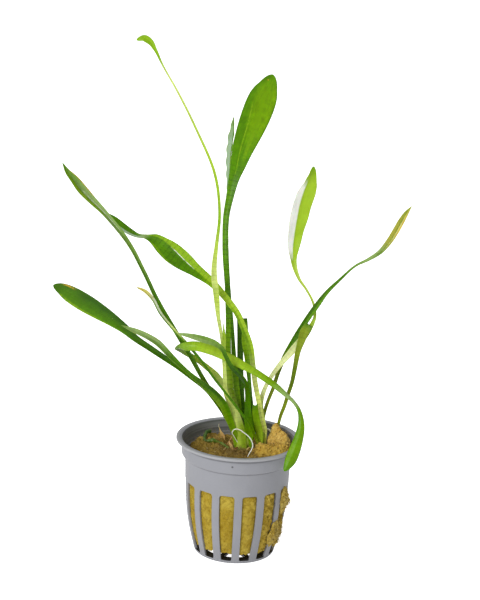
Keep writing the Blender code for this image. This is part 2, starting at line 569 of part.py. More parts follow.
def add_prism(shape, corners, low, high):
    """An upright prism over four corners, and the two edges of its top that run outwards."""
    bottom = [shape.verts.new((x, y, low)) for x, y in corners]
    top = [shape.verts.new((x, y, high)) for x, y in corners]
    shape.faces.new(bottom[::-1])
    shape.faces.new(top)
    for i in range(len(corners)):
        j = (i + 1) % len(corners)
        shape.faces.new((bottom[i], bottom[j], top[j], top[i]))
    return [shape.edges.get((top[0], top[1])), shape.edges.get((top[2], top[3]))]


def window_corners(first, second, rib, inner, outer):
    """Four corners of an opening between two ribs whose middle lines lie at two angles."""
    out_a, side_a = direction(first)
    out_b, side_b = direction(second)
    return [
        out_a * inner + side_a * rib / 2,
        out_a * outer + side_a * rib / 2,
        out_b * outer - side_b * rib / 2,
        out_b * inner - side_b * rib / 2,
    ]


def slot_cutter():
    """Fourteen prisms with rounded upper corners, one for each slot of the wall."""
    shape = bmesh.new()
    pitch = 2 * math.pi / SLOT_COUNT
    rounded = []
    for k in range(SLOT_COUNT):
        start = RIB_PHASE + k * pitch
        corners = window_corners(start, start + pitch, RIB_WIDTH, 15 * MM, 30 * MM)
        rounded += add_prism(shape, corners, SLOT_BOTTOM, SLOT_TOP)
    bmesh.ops.bevel(
        shape, geom=rounded, offset=SLOT_CORNER, offset_type="OFFSET", segments=3, profile=0.5,
        affect="EDGES",
    )
    return object_from("slot_cutter", shape, "grey_plastic", smooth=False)


def floor_cutter():
    """One opening between each two spokes of the floor, from the hub to the outer ring."""
    shape = bmesh.new()
    pitch = 2 * math.pi / SPOKE_COUNT
    for k in range(SPOKE_COUNT):
        start = SPOKE_PHASE + k * pitch
        corners = window_corners(start, start + pitch, SPOKE_WIDTH, HUB_RADIUS, FLOOR_RING_RADIUS)
        middle, _ = direction(start + pitch / 2)
        corners.insert(2, middle * FLOOR_RING_RADIUS * 1.03)
        corners.append(middle * HUB_RADIUS * 0.95)
        add_prism(shape, corners, -MM, 3 * MM)
    return object_from("floor_cutter", shape, "grey_plastic", smooth=False)


def make_pot():
    """The net pot, cut open by its slots and by the openings of its floor."""
    pot = turned_pot()
    for cutter in (slot_cutter(), floor_cutter()):
        cutter.hide_render = True
        cutter.display_type = "WIRE"
        cut = pot.modifiers.new(cutter.name, "BOOLEAN")
        cut.operation = "DIFFERENCE"
        cut.object = cutter
    return pot


def lumps(x, y):
    """Gentle unevenness of torn wool, between -1 and 1, from three crossed waves."""
    x, y = x / MM, y / MM
    waves = np.sin(0.55 * x + 0.9) + np.sin(0.7 * y - 0.35 * x) + np.sin(0.4 * x + 0.8 * y + 2.0)
    return waves / 3


def make_plug():
    """The rock wool that fills the pot, up to a few millimetres below the rim."""
    angle = np.linspace(0, 2 * math.pi, WOOL_SEGMENTS, endpoint=False)
    heights = np.array((WOOL_BOTTOM / MM, 9.5, 13.5, 20.0, 27.0, 36.0, 44.0)) * MM
    radii = wall_radius(heights) - WALL - WOOL_CLEARANCE
    heights = np.concatenate([heights, [WOOL_TOP - 0.4 * MM] + [WOOL_TOP] * 3])
    radii = np.concatenate([radii, radii[-1] * np.array((0.99, 0.95, 0.65, 0.32))])
    x = radii[:, None] * np.cos(angle)
    y = radii[:, None] * np.sin(angle)
    z = heights[:, None] + 0 * angle
    z[-3:] += WOOL_LUMP * lumps(x[-3:], y[-3:])
    return closed_tube("rock_wool_plug", np.stack([x, y, z], axis=-1), "wool_gold")


def tuft_height(x, y, inset):
    """Height of the loose lump: a low mound with a peak behind, falling to its foot."""
    away = np.hypot(x - TUFT_PEAK_AT[0], y - TUFT_PEAK_AT[1])
    peak = TUFT_PEAK * np.exp(-((away / TUFT_PEAK_SPREAD) ** 2))
    return TUFT_FOOT + (1 - inset**6) * (TUFT_MOUND * (1 - 0.35 * inset) + peak)


def make_tuft():
    """The loose lump of wool beside the right crown, with a flat underside."""
    outline = np.array(TUFT_OUTLINE) * MM - TUFT_MIDDLE
    insets = np.array((1.0, 0.93, 0.76, 0.5, 0.25))[:, None]
    x = TUFT_MIDDLE[0] + insets * outline[:, 0]
    y = TUFT_MIDDLE[1] + insets * outline[:, 1]
    z = tuft_height(x, y, insets)
    return closed_tube("loose_wool_tuft", np.stack([x, y, z], axis=-1), "wool_pale")


def make_strand(name, route, diameter, finish, per_point=2):
    """A thin round strand along a smooth route, as a curve with a bevel and filled ends."""
    points = smooth_through(route, per_point * (len(route) - 1) + 1) * MM
    curve = bpy.data.curves.new(name, "CURVE")
    curve.dimensions = "3D"
    curve.bevel_depth = diameter / 2
    curve.bevel_resolution = 1
    curve.use_fill_caps = True
    spline = curve.splines.new("POLY")
    spline.points.add(len(points) - 1)
    for point, place in zip(spline.points, points):
        point.co = (*place, 1.0)
    made = bpy.data.objects.new(name, curve)
    curve.materials.append(finish_of(finish))
    bpy.context.scene.collection.objects.link(made)
    return made


def build():
    """The whole potted plant, from the pot up."""
    clear_scene()
    make_pot()
    make_plug()
    make_tuft()
    for name, rings in CROWNS.items():
        make_crown(name, rings)
    for name, stations in LEAVES.items():
        make_leaf(name, stations)
    closed_tube("dried_leaf_scrap", leaf_rings(SCRAP_STATIONS), "dry_tan")
    make_strand("root_loop", ROOT_ROUTE, ROOT_DIAMETER, "root_white")


build()
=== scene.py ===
import math

import bpy
import numpy as np
from mathutils import Matrix, Vector


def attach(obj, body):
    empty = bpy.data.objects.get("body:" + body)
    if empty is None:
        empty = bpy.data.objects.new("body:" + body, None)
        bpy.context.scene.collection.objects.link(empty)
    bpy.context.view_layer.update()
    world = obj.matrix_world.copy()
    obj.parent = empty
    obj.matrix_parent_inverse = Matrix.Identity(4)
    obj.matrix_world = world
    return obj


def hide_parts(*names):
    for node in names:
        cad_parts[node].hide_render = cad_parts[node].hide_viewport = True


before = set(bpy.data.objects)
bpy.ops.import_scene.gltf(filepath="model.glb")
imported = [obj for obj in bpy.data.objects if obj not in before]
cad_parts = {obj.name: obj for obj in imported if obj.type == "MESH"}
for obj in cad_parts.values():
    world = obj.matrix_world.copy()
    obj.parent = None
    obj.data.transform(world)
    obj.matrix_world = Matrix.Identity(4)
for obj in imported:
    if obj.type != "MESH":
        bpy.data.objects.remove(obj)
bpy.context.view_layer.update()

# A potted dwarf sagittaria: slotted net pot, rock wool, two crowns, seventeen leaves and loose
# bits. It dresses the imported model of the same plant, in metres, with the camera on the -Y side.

# The stage. A pale floor that runs out of sight, a white sky that lights from all round, and
# three soft boxes. The camera looks down by 21.5 degrees from just over a metre, leaning a little.

MM = 0.001
CAMERA_DISTANCE = 1.1215
CAMERA_DROP = math.radians(21.51)
CAMERA_ROLL = math.radians(2.76)
AIM_HEIGHT = 0.05
FOCAL_PIXELS = 2499.0
IMAGE_HEIGHT = 600
SENSOR_WIDTH = 36
# Where the aim point lies from the middle of the picture, in pixels to the right and down.
AIM_OFFSET = (-1.5, 145.0)
# Each soft box has a place, a side in metres and a power in watts.
SOFT_BOXES = [
    ("key_box", (-0.85, -1.15, 0.7), 0.8, 15.0),
    ("top_box", (-0.1, 0.1, 1.4), 0.9, 4.0),
    ("fill_box", (0.95, -0.95, 0.45), 0.8, 0.2),
]
LIGHT_AIM = (0, 0, 0.1)
SKY_STRENGTH = 0.41
FLOOR_GLOW = 0.25
FLOOR_REACH = 3


def tone(red, green, blue):
    """A colour picked in display steps from 0 to 255, as the linear values that a shader takes."""
    share = np.array((red, green, blue)) / 255
    linear = np.where(share > 0.04045, ((share + 0.055) / 1.055) ** 2.4, share / 12.92)
    return (*linear.tolist(), 1.0)


def set_inputs(tree, made, inputs):
    """Sets a node's inputs, each to a plain value or by a link from another node's output."""
    for key, value in inputs.items():
        if isinstance(value, bpy.types.NodeSocket):
            tree.links.new(value, made.inputs[key])
        else:
            made.inputs[key].default_value = value


def node(tree, kind, inputs=None, **settings):
    """A shader node with its settings and inputs."""
    made = tree.nodes.new("ShaderNode" + kind)
    for key, value in settings.items():
        setattr(made, key, value)
    set_inputs(tree, made, inputs or {})
    return made


def mix(tree, share, first, second):
    """The colour that goes from the first to the second as the share goes from 0 to 1."""
    return node(tree, "Mix", {0: share, 6: first, 7: second}, data_type="RGBA").outputs[2]


def ranged(tree, value, low, high, start=0.0, end=1.0):
    """The value carried from the range low to high over to start to end, and held there."""
    return node(tree, "MapRange", {0: value, 1: low, 2: high, 3: start, 4: end}).outputs[0]


def white_to_camera(tree, strength):
    """The strength of a glow, which is one, plain white, where the camera sees it directly."""
    seen = node(tree, "LightPath").outputs["Is Camera Ray"]
    return ranged(tree, seen, 0.0, 1.0, strength, 1.0)


def new_material(name):
    """A material with one Principled shader, and its node tree."""
    made = bpy.data.materials.new(name)
    made.use_nodes = True
    return made, made.node_tree


def dress(made, **values):
    """Gives the material's shader its values and links, and returns the material."""
    labels = [key.replace("_", " ").title().replace("Ior", "IOR") for key in values]
    shader = made.node_tree.nodes["Principled BSDF"]
    set_inputs(made.node_tree, shader, dict(zip(labels, values.values())))
    return made


def place_camera():
    """The photograph's camera: from the aim point back along its line, then turned so that the
    aim point falls where the photograph has it."""
    forward = Vector((0, math.cos(CAMERA_DROP), -math.sin(CAMERA_DROP)))
    up = Vector((0, math.sin(CAMERA_DROP), math.cos(CAMERA_DROP)))
    across = Vector((1, 0, 0))
    cosine, sine = math.cos(CAMERA_ROLL), math.sin(CAMERA_ROLL)
    right_pixels = -cosine * AIM_OFFSET[0] - sine * AIM_OFFSET[1]
    down_pixels = sine * AIM_OFFSET[0] - cosine * AIM_OFFSET[1]
    axis = (forward * FOCAL_PIXELS + across * right_pixels - up * down_pixels).normalized()
    picture_up = up * cosine - across * sine
    right = axis.cross(picture_up).normalized()
    turn = Matrix((right, right.cross(axis), -axis)).transposed()
    data = bpy.data.cameras.new("photo_camera")
    data.sensor_width = SENSOR_WIDTH
    data.lens = FOCAL_PIXELS / IMAGE_HEIGHT * SENSOR_WIDTH
    data.clip_start = 0.05
    data.clip_end = 20
    made = bpy.data.objects.new("photo_camera", data)
    made.matrix_world = turn.to_4x4()
    made.location = Vector((0, 0, AIM_HEIGHT)) - forward * CAMERA_DISTANCE
    bpy.context.scene.collection.objects.link(made)
    bpy.context.scene.camera = made


def place_lights():
    """The white sky and the soft boxes, each turned to the middle of the plant."""
    world = bpy.data.worlds.new("white_room")
    world.use_nodes = True
    tree = world.node_tree
    set_inputs(tree, tree.nodes["Background"], {
        "Color": (1, 1, 1, 1), "Strength": white_to_camera(tree, SKY_STRENGTH)})
    bpy.context.scene.world = world
    for name, place, size, power in SOFT_BOXES:
        light = bpy.data.lights.new(name, "AREA")
        light.size = size
        light.energy = power
        box = bpy.data.objects.new(name, light)
        box.location = place
        heading = Vector(LIGHT_AIM) - Vector(place)
        box.rotation_mode = "QUATERNION"
        box.rotation_quaternion = heading.to_track_quat("-Z", "Y")
        bpy.context.scene.collection.objects.link(box)


def place_floor():
    """A square of plain white card that glows a little, with the pot at its middle."""
    corners = [(x * FLOOR_REACH, y * FLOOR_REACH, 0) for x, y in ((-1, -1), (1, -1), (1, 1), (-1, 1))]
    mesh = bpy.data.meshes.new("floor_card")
    mesh.from_pydata(corners, [], [(0, 1, 2, 3)])
    card, tree = new_material("white_card")
    grain = node(tree, "TexNoise", {"Scale": 60.0, "Detail": 4.0}).outputs[0]
    mesh.materials.append(dress(
        card, base_color=mix(tree, grain, tone(246, 246, 246), tone(250, 250, 250)), roughness=0.7,
        specular_ior_level=0.2, emission_color=(1, 1, 1, 1),
        emission_strength=white_to_camera(tree, FLOOR_GLOW)))
    floor = bpy.data.objects.new("floor_card", mesh)
    bpy.context.scene.collection.objects.link(floor)


bpy.context.scene.view_settings.view_transform = "Standard"
place_camera()
place_lights()
place_floor()

# Net pot. One injection moulding in grey plastic: a turned wall with a flange and a collar at the
# mouth, fourteen slots between upright ribs, and a floor of seven spokes round a hub.

SLOT_COUNT = 14
SLOT_BOTTOM = 1.5 * MM
SLOT_TOP = 34.4 * MM
TOP_CORNER = 1.2 * MM
FOOT_CORNER = 0.5 * MM
HALF_RIB = 1.74 * MM
HALF_SPOKE = 1.1 * MM
HUB_RADIUS = 5.5 * MM
FLOOR_RING_RADIUS = 13.4 * MM
FLOOR_THICKNESS = 1.2 * MM
LEAST_WALL_RADIUS = 17 * MM
RIB_PHASE = math.radians(2.9)
WALL = 1.0 * MM
# The mouth is a little out of true: lifted, and higher in front by the tilt's share of its
# radius. This begins at the mouth's foot and is whole by its depth above.
MOUTH_LIFT = 0.5 * MM
MOUTH_TILT = 0.02
MOUTH_FOOT = 47 * MM
MOUTH_DEPTH = 3 * MM
RIB_COLUMNS = 5
SLOT_COLUMNS = 7
# Two heights or radii closer than this, in metres, are the same.
CLOSE = 1e-6
# Places on the wall's outside, as heights and radii in millimetres.
WALL_PLACES = ((0.5, 1.5, 5.5, 9.5, 13.5, 20.0, 27.0, 36.0, 45.6),
               (18.1, 18.4, 19.5, 20.5, 21.3, 22.5, 23.0, 23.4, 23.85))
# Matching places on the outside and the inside of the mouth, as (radius, height) in millimetres.
MOUTH_OUTSIDE = [
    (28.0, 52.7), (28.0, 52.1), (27.8, 51.85), (26.6, 51.75), (25.8, 51.65), (25.6, 51.3),
    (25.5, 50.0), (25.35, 47.0), (25.3, 46.2), (25.1, 45.85), (24.6, 45.7), (24.1, 45.5),
    (23.85, 45.0),
]
MOUTH_INSIDE = [
    (27.8, 52.95), (27.4, 53.0), (26.9, 53.0), (26.2, 53.0), (25.6, 52.9), (25.25, 52.6),
    (25.0, 51.2), (24.6, 48.8), (24.3, 47.6), (24.0, 47.0), (23.6, 46.5), (23.1, 46.0),
    (22.85, 45.3),
]
WALL_HEIGHTS = (43.0, 39.0, 36.0, 34.4, 34.25, 33.9, 33.2, 31.0, 28.0, 24.5, 21.0, 17.5, 14.0, 11.5,
                9.0, 6.5, 4.0, 2.0, 1.65, 1.5)
FOOT_OUTSIDE = [(18.3, 1.0), (18.1, 0.45), (17.8, 0.1), (17.4, 0.0), (15.4, 0.0), (13.4, 0.0)]
FOOT_INSIDE = [(17.3, 1.4), (17.1, 1.25), (16.8, 1.2), (16.4, 1.2), (15.0, 1.2), (13.4, 1.2)]
FLOOR_RADII = (11.4, 9.4, 7.4, 5.5, 3.6, 1.7)
# The rows at which the flange's painted highlight ends and at which the inside's painted shade begins.
LIP_ROWS = (2.5, 4.5)
# Painted shade under the flange and under the collar, as first row, last row and share,
# and the middle of a dark speck.
POT_SHADE_BANDS = [(5.15, 6.0, 0.6), (11.35, 12.2, 0.6)]
POT_SPECK = (-0.0022, -0.0254, 0.0494)
ROUNDING = 0.16 * MM
ROUNDED_FROM = math.radians(50)


def wall_radius(height):
    """Outer radius of the pot's wall: a smooth fourth-power curve through its places."""
    return np.polyval(np.polyfit(*WALL_PLACES, 4), height / MM) * MM


def make_piece(name, shape, material):
    """An object from a shape: points, index arrays of three or four corners and, where there is
    a pattern, each point's place on it (share along, share across). Faces are turned outwards,
    which the sign of the enclosed volume shows. The piece rides on the plant's one body."""
    points, faces, along = (*shape, None)[:3]
    first = faces[0]
    a, b, c = (points[first[:, k]] for k in range(3))
    volume = np.einsum("ij,ij->i", a, np.cross(b, c)).sum()
    if first.shape[1] == 4:
        volume += np.einsum("ij,ij->i", a, np.cross(c, points[first[:, 3]])).sum()
    if volume < 0:
        faces = [group[:, ::-1] for group in faces]
    corners = np.concatenate([group.ravel() for group in faces]).astype(np.int32)
    sizes = np.concatenate([np.full(len(group), group.shape[1]) for group in faces])
    starts = np.concatenate([[0], np.cumsum(sizes)[:-1]]).astype(np.int32)
    mesh = bpy.data.meshes.new(name)
    mesh.vertices.add(len(points))
    mesh.vertices.foreach_set("co", points.astype(np.float32).ravel())
    mesh.loops.add(len(corners))
    mesh.loops.foreach_set("vertex_index", corners)
    mesh.polygons.add(len(sizes))
    mesh.polygons.foreach_set("loop_start", starts)
    mesh.update(calc_edges=True)
    if along is not None:
        layer = mesh.uv_layers.new(name="along")
        layer.data.foreach_set("uv", along[corners].astype(np.float32).ravel())
    mesh.shade_smooth()
    mesh.materials.append(material)
    made = bpy.data.objects.new(name, mesh)
    bpy.context.scene.collection.objects.link(made)
    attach(made, "root")
    return made


def pot_rows():
    """Matching rows of the outside and the inside, from the flange down the wall to the hub."""
    heights = np.array(WALL_HEIGHTS) * MM
    radii = wall_radius(heights)
    floor = np.array(FLOOR_RADII) * MM
    skins = []
    for mouth, wall, foot, level in ((MOUTH_OUTSIDE, 0, FOOT_OUTSIDE, 0),
                                     (MOUTH_INSIDE, WALL, FOOT_INSIDE, FLOOR_THICKNESS)):
        skins.append(np.vstack([
            np.array(mouth) * MM, np.stack([radii - wall, heights], axis=1), np.array(foot) * MM,
            np.stack([floor, 0 * floor + level], axis=1)]))
    return skins


def half_rib_angles(radius, height):
    """Half the angle that a rib takes in each row, for ribs without and with a spoke below.

    On the wall it is the rib's half width over the radius, and it grows by a quarter circle at
    the slot's corners. On the floor a spoke keeps its own half width out to the ring.
    """
    top = np.clip((height - SLOT_TOP + TOP_CORNER) / TOP_CORNER, 0, 1)
    foot = np.clip((SLOT_BOTTOM + FOOT_CORNER - height) / FOOT_CORNER, 0, 1)
    grown = TOP_CORNER * (1 - np.sqrt(1 - top**2)) + FOOT_CORNER * (1 - np.sqrt(1 - foot**2))
    plain = np.arcsin(np.minimum((HALF_RIB + grown) / np.maximum(radius, LEAST_WALL_RADIUS), 1))
    on_floor = (height < SLOT_BOTTOM) & (radius <= FLOOR_RING_RADIUS + 0.1 * MM)
    spoke = np.arcsin(HALF_SPOKE / np.maximum(radius, HUB_RADIUS))
    return plain, np.where(on_floor, spoke, plain)


def pot_angles(radius, height):
    """The angle of every column in every row: rib columns spread over each rib, and slot columns
    over each gap between two ribs."""
    plain, spoked = half_rib_angles(radius, height)
    pitch = 2 * math.pi / SLOT_COUNT
    across_rib = np.linspace(-1, 1, RIB_COLUMNS)
    across_slot = np.linspace(0, 1, SLOT_COLUMNS + 2)[1:-1]
    columns = []
    for k in range(SLOT_COUNT):
        here, after = (plain, spoked) if k % 2 == 0 else (spoked, plain)
        middle = RIB_PHASE + k * pitch
        columns.append(middle + here[:, None] * across_rib)
        gap = pitch - here - after
        columns.append((middle + here)[:, None] + gap[:, None] * across_slot)
    return np.hstack(columns)


def open_cells(outside):
    """Which cells between neighbouring rows and columns are open: the slots, and the floor's
    openings from one spoke to the next."""
    radius, height = outside[:, 0], outside[:, 1]
    sector = RIB_COLUMNS + SLOT_COLUMNS
    column = np.arange(SLOT_COUNT * sector)
    in_slot = column % sector >= RIB_COLUMNS - 1
    spoke = (column // sector % 2 == 1) & (column % sector < RIB_COLUMNS - 1)
    slot_row = (height[:-1] <= SLOT_TOP + CLOSE) & (height[1:] >= SLOT_BOTTOM - CLOSE)
    slot_row &= height[:-1] > SLOT_BOTTOM
    ring_row = (radius[:-1] <= FLOOR_RING_RADIUS + CLOSE) & (radius[1:] >= HUB_RADIUS - CLOSE)
    ring_row &= height[:-1] < SLOT_BOTTOM / 2
    return (slot_row[:, None] & in_slot) | (ring_row[:, None] & ~spoke)


def pot_shell():
    """The whole pot as one closed skin: the outside cells, the same cells inside, a strip that
    joins the two wherever a cell has no neighbour, and a fan at the middle of the floor. Each
    point's place on the pattern is the number of its row."""
    outside, inside = pot_rows()
    angle = pot_angles(outside[:, 0], outside[:, 1])
    skins = []
    for rows in (outside, inside):
        x = rows[:, :1] * np.sin(angle)
        y = -rows[:, :1] * np.cos(angle)
        mouth = np.clip((rows[:, 1:] - MOUTH_FOOT) / MOUTH_DEPTH, 0, 1)
        skins.append(np.stack([x, y, rows[:, 1:] + mouth * (MOUTH_LIFT - MOUTH_TILT * y)], axis=-1))
    count, columns = angle.shape
    index = np.arange(count * columns).reshape(count, columns)
    right = np.roll(index, -1, axis=1)
    cells = np.stack([index[:-1], right[:-1], right[1:], index[1:]], axis=-1)
    cells = cells[~open_cells(outside)]
    total = count * columns
    edges = np.stack([cells, np.roll(cells, -1, axis=1)], axis=-1).reshape(-1, 2)
    forward = edges[:, 0] * total + edges[:, 1]
    backward = edges[:, 1] * total + edges[:, 0]
    loose = edges[~np.isin(forward, backward)]
    loose = loose[~(loose >= total - columns).all(axis=1)]
    strip = np.stack([loose[:, 1], loose[:, 0], loose[:, 0] + total, loose[:, 1] + total], axis=-1)
    quads = np.vstack([cells, cells[:, ::-1] + total, strip])
    poles = np.array([[0, 0, 0], [0, 0, FLOOR_THICKNESS]])
    last, after = index[-1], right[-1]
    fan_out = np.stack([last, after, np.full(columns, 2 * total)], axis=-1)
    fan_in = np.stack([after, last, np.full(columns, 2 * total + 1)], axis=-1)
    fan_in[:, :2] += total
    points = np.vstack([skins[0].reshape(-1, 3), skins[1].reshape(-1, 3), poles])
    row = (np.arange(count)[:, None] + np.zeros(columns)).ravel()
    row = np.concatenate([row, row, [count, count]])
    return points, [quads, np.vstack([fan_out, fan_in])], np.stack([row, 0 * row], axis=1)


def calc(tree, operation, *values):
    """A sum in a shader, with one to three values."""
    return node(tree, "Math", dict(enumerate(values)), operation=operation).outputs[0]


def vector_calc(tree, operation, first, second, output="Vector"):
    """A sum of two vectors in a shader, which gives a vector or a value."""
    return node(tree, "VectorMath", {0: first, 1: second}, operation=operation).outputs[output]


def noise(tree, place, scale, detail, **more):
    """Cloudy noise, mostly from 0.3 to 0.7, with its scale, detail and any more of its inputs."""
    inputs = {"Vector": place, "Scale": scale, "Detail": detail}
    inputs.update({key.title(): value for key, value in more.items()})
    return node(tree, "TexNoise", inputs).outputs[0]


def axes(tree, vector):
    """The three numbers of a vector."""
    return node(tree, "SeparateXYZ", {0: vector}).outputs


def own_place(tree):
    """Where a point lies in its piece, in metres from the pot's foot."""
    return node(tree, "TexCoord").outputs["Object"]


def pattern(tree):
    """A point's place on its piece's pattern: along it and across it."""
    return axes(tree, node(tree, "UVMap", uv_map="along").outputs[0])[:2]


def bump(tree, height, strength, distance):
    """A normal that is bent by the height."""
    return node(tree, "Bump", {"Height": height, "Strength": strength, "Distance": distance}).outputs[0]


def pot_material():
    """Grey polypropylene: even and satin outside, painted darker inside as shade, with streaks and
    turning lines, and paler on the flange's top as a painted highlight. Painted shade lies under the
    flange, under the collar and on the floor's top, and there are a soft mould grain and specks of
    grit."""
    made, tree = new_material("grey_plastic")
    place = own_place(tree)
    row = pattern(tree)[0]
    height = axes(tree, place)[2]
    facing = node(tree, "NewGeometry").outputs["Normal"]
    flat_place = vector_calc(tree, "MULTIPLY", place, (1, 1, 0))
    inward = vector_calc(tree, "DOT_PRODUCT", flat_place, facing, "Value")
    inner = ranged(tree, inward, -0.004, -0.012)
    inner = calc(tree, "MULTIPLY", inner, calc(tree, "GREATER_THAN", row, LIP_ROWS[1]))
    # Painted shade: the floor's upward faces are painted nearly black.
    floor_top_shade = calc(tree, "MULTIPLY", axes(tree, facing)[2], ranged(tree, height, 0.012, 0.0015))
    cloud = noise(tree, place, 90.0, 3.0)
    grey = mix(tree, cloud, tone(136, 137, 143), tone(148, 149, 155))
    # Painted shade: dark bands on the outside just under the flange and under the collar.
    for begin, end, share in POT_SHADE_BANDS:
        full = ranged(tree, row, begin, begin + 0.2, 0.0, share)
        gone = ranged(tree, row, end - 0.4, end, 1.0, 0.0)
        grey = mix(tree, calc(tree, "MULTIPLY", full, gone), grey, tone(84, 84, 88))
    # Painted highlight: the flange's top is painted a paler grey.
    grey = mix(tree, calc(tree, "LESS_THAN", row, LIP_ROWS[0]), grey, tone(158, 159, 162))
    streak = noise(tree, vector_calc(tree, "MULTIPLY", place, (12, 12, 1100)), 1.0, 2.0)
    # Painted shade: the inside of the pot takes these darker, streaked greys.
    inside = mix(tree, ranged(tree, streak, 0.4, 0.6), tone(96, 97, 98), tone(128, 129, 132))
    colour = mix(tree, floor_top_shade, mix(tree, inner, grey, inside), tone(44, 45, 46))
    grit = node(tree, "TexVoronoi", {"Vector": place, "Scale": 140.0}).outputs
    speck = ranged(tree, grit["Distance"], 0.035, 0.02)
    few = calc(tree, "MULTIPLY", speck, calc(tree, "GREATER_THAN", grit["Color"], 0.9))
    colour = mix(tree, few, colour, tone(86, 84, 78))
    away = vector_calc(tree, "DISTANCE", place, POT_SPECK, "Value")
    colour = mix(tree, ranged(tree, away, 0.6 * MM, 0.3 * MM), colour, tone(84, 84, 86))
    turns = calc(tree, "SINE", calc(tree, "MULTIPLY", height, 9000.0))
    lines = calc(tree, "MULTIPLY", turns, inner)
    relief = calc(tree, "MULTIPLY_ADD", lines, 1.2, noise(tree, place, 1600.0, 2.0))
    return dress(made, base_color=colour, roughness=ranged(tree, cloud, 0.0, 1.0, 0.34, 0.5),
                 normal=bump(tree, relief, 0.25, 0.00006))


pot = make_piece("moulded_net_pot", pot_shell(), pot_material())
rounded = pot.modifiers.new("rounded_edges", "BEVEL")
rounded.width = ROUNDING
rounded.segments = 2
rounded.limit_method = "ANGLE"
rounded.angle_limit = ROUNDED_FROM
evened = pot.modifiers.new("even_shading", "WEIGHTED_NORMAL")
evened.keep_sharp = True
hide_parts("net_pot")

# Rock wool plug. Mineral fibres spun into a soft golden cylinder that was pressed into the pot.
# It swells a little between the ribs, is torn and fluffy on the right, and its top has browned.

WOOL_BOTTOM = 4.9 * MM
WOOL_TOP = 46.4 * MM
WOOL_CLEARANCE = 1.2 * MM
WOOL_SWELL = 0.75 * MM
WOOL_COLUMNS = 420
WOOL_SIDE_ROWS = 130
WOOL_TOP_ROWS = 70
WOOL_BOTTOM_ROWS = 16
# Where the side is torn: the angle from the front, and half the spread, in degrees.
TORN_SIDE = (58, 34)
# The top's ridge behind, rise at the left and hollow by the right crown: x, y and rise in
# millimetres, and the number that each bell curve divides the squared distance by.
WOOL_HUMPS = [(-13, 13.5, 2.2, 50), (-19.5, 6, 0.9, 26), (12.5, 9.5, -1.4, 7)]
# The top falls towards the wall: from which share of its radius, over which, and by how many mm.
SHOULDER_FROM = 0.93
SHOULDER_WIDTH = 0.07
SHOULDER_DROP = 1.1
# Rows of the plug on which loose fibres grow, and how far from a rib's middle the side has them.
TOP_FIBRE_ROWS = (148, 212)
SIDE_FIBRE_ROWS = (18, 108)
SIDE_FIBRE_RADIUS = 21
SIDE_FIBRE_GAP = 2.3


def around(count):
    """The angles of so many equal steps round a circle."""
    return np.arange(count) / count * 2 * math.pi


def from_axis(radius, angle, height):
    """Points at a radius and an angle from the front, round the pot's axis."""
    return np.stack([radius * np.sin(angle), -radius * np.cos(angle), height], axis=-1)


def waves(points, seed, length, count=28):
    """Smooth noise from about -1 to 1: a sum of sines that run in random directions, each with a
    wavelength within half an octave of the given length."""
    chance = np.random.default_rng(seed)
    heading = chance.normal(size=(count, 3))
    heading /= np.linalg.norm(heading, axis=1, keepdims=True)
    heading *= (2 * math.pi / length * 2 ** chance.uniform(-0.5, 0.5, count))[:, None]
    phase = chance.uniform(0, 2 * math.pi, count)
    flat = points.reshape(-1, 3)
    total = np.sin(flat @ heading.T + phase).sum(axis=1) / math.sqrt(count)
    return total.reshape(points.shape[:-1])


def closed(grid, poles):
    """Points and faces of a grid whose columns close into rings, with the first pole before its
    first row and the other after its last."""
    rows, columns = grid.shape[:2]
    index = np.arange(rows * columns).reshape(rows, columns)
    right = np.roll(index, -1, axis=1)
    quads = np.stack([index[:-1], right[:-1], right[1:], index[1:]], axis=-1).reshape(-1, 4)
    start = np.full(columns, rows * columns)
    first_fan = np.stack([right[0], index[0], start], axis=-1)
    last_fan = np.stack([index[-1], right[-1], start + 1], axis=-1)
    return np.vstack([grid.reshape(-1, 3), poles]), [quads, np.vstack([first_fan, last_fan])]


def nearest_rib(angle):
    """The angle from the middle of the nearest rib."""
    pitch = 2 * math.pi / SLOT_COUNT
    return np.abs((angle - RIB_PHASE + pitch / 2) % pitch - pitch / 2)


def torn_share(angle):
    """From 0 where the wool was cut clean to 1 in the middle of its torn side."""
    middle, spread = np.radians(TORN_SIDE)
    away = (angle - middle + math.pi) % (2 * math.pi) - math.pi
    return np.clip(1.3 - (away / spread) ** 2, 0, 1)


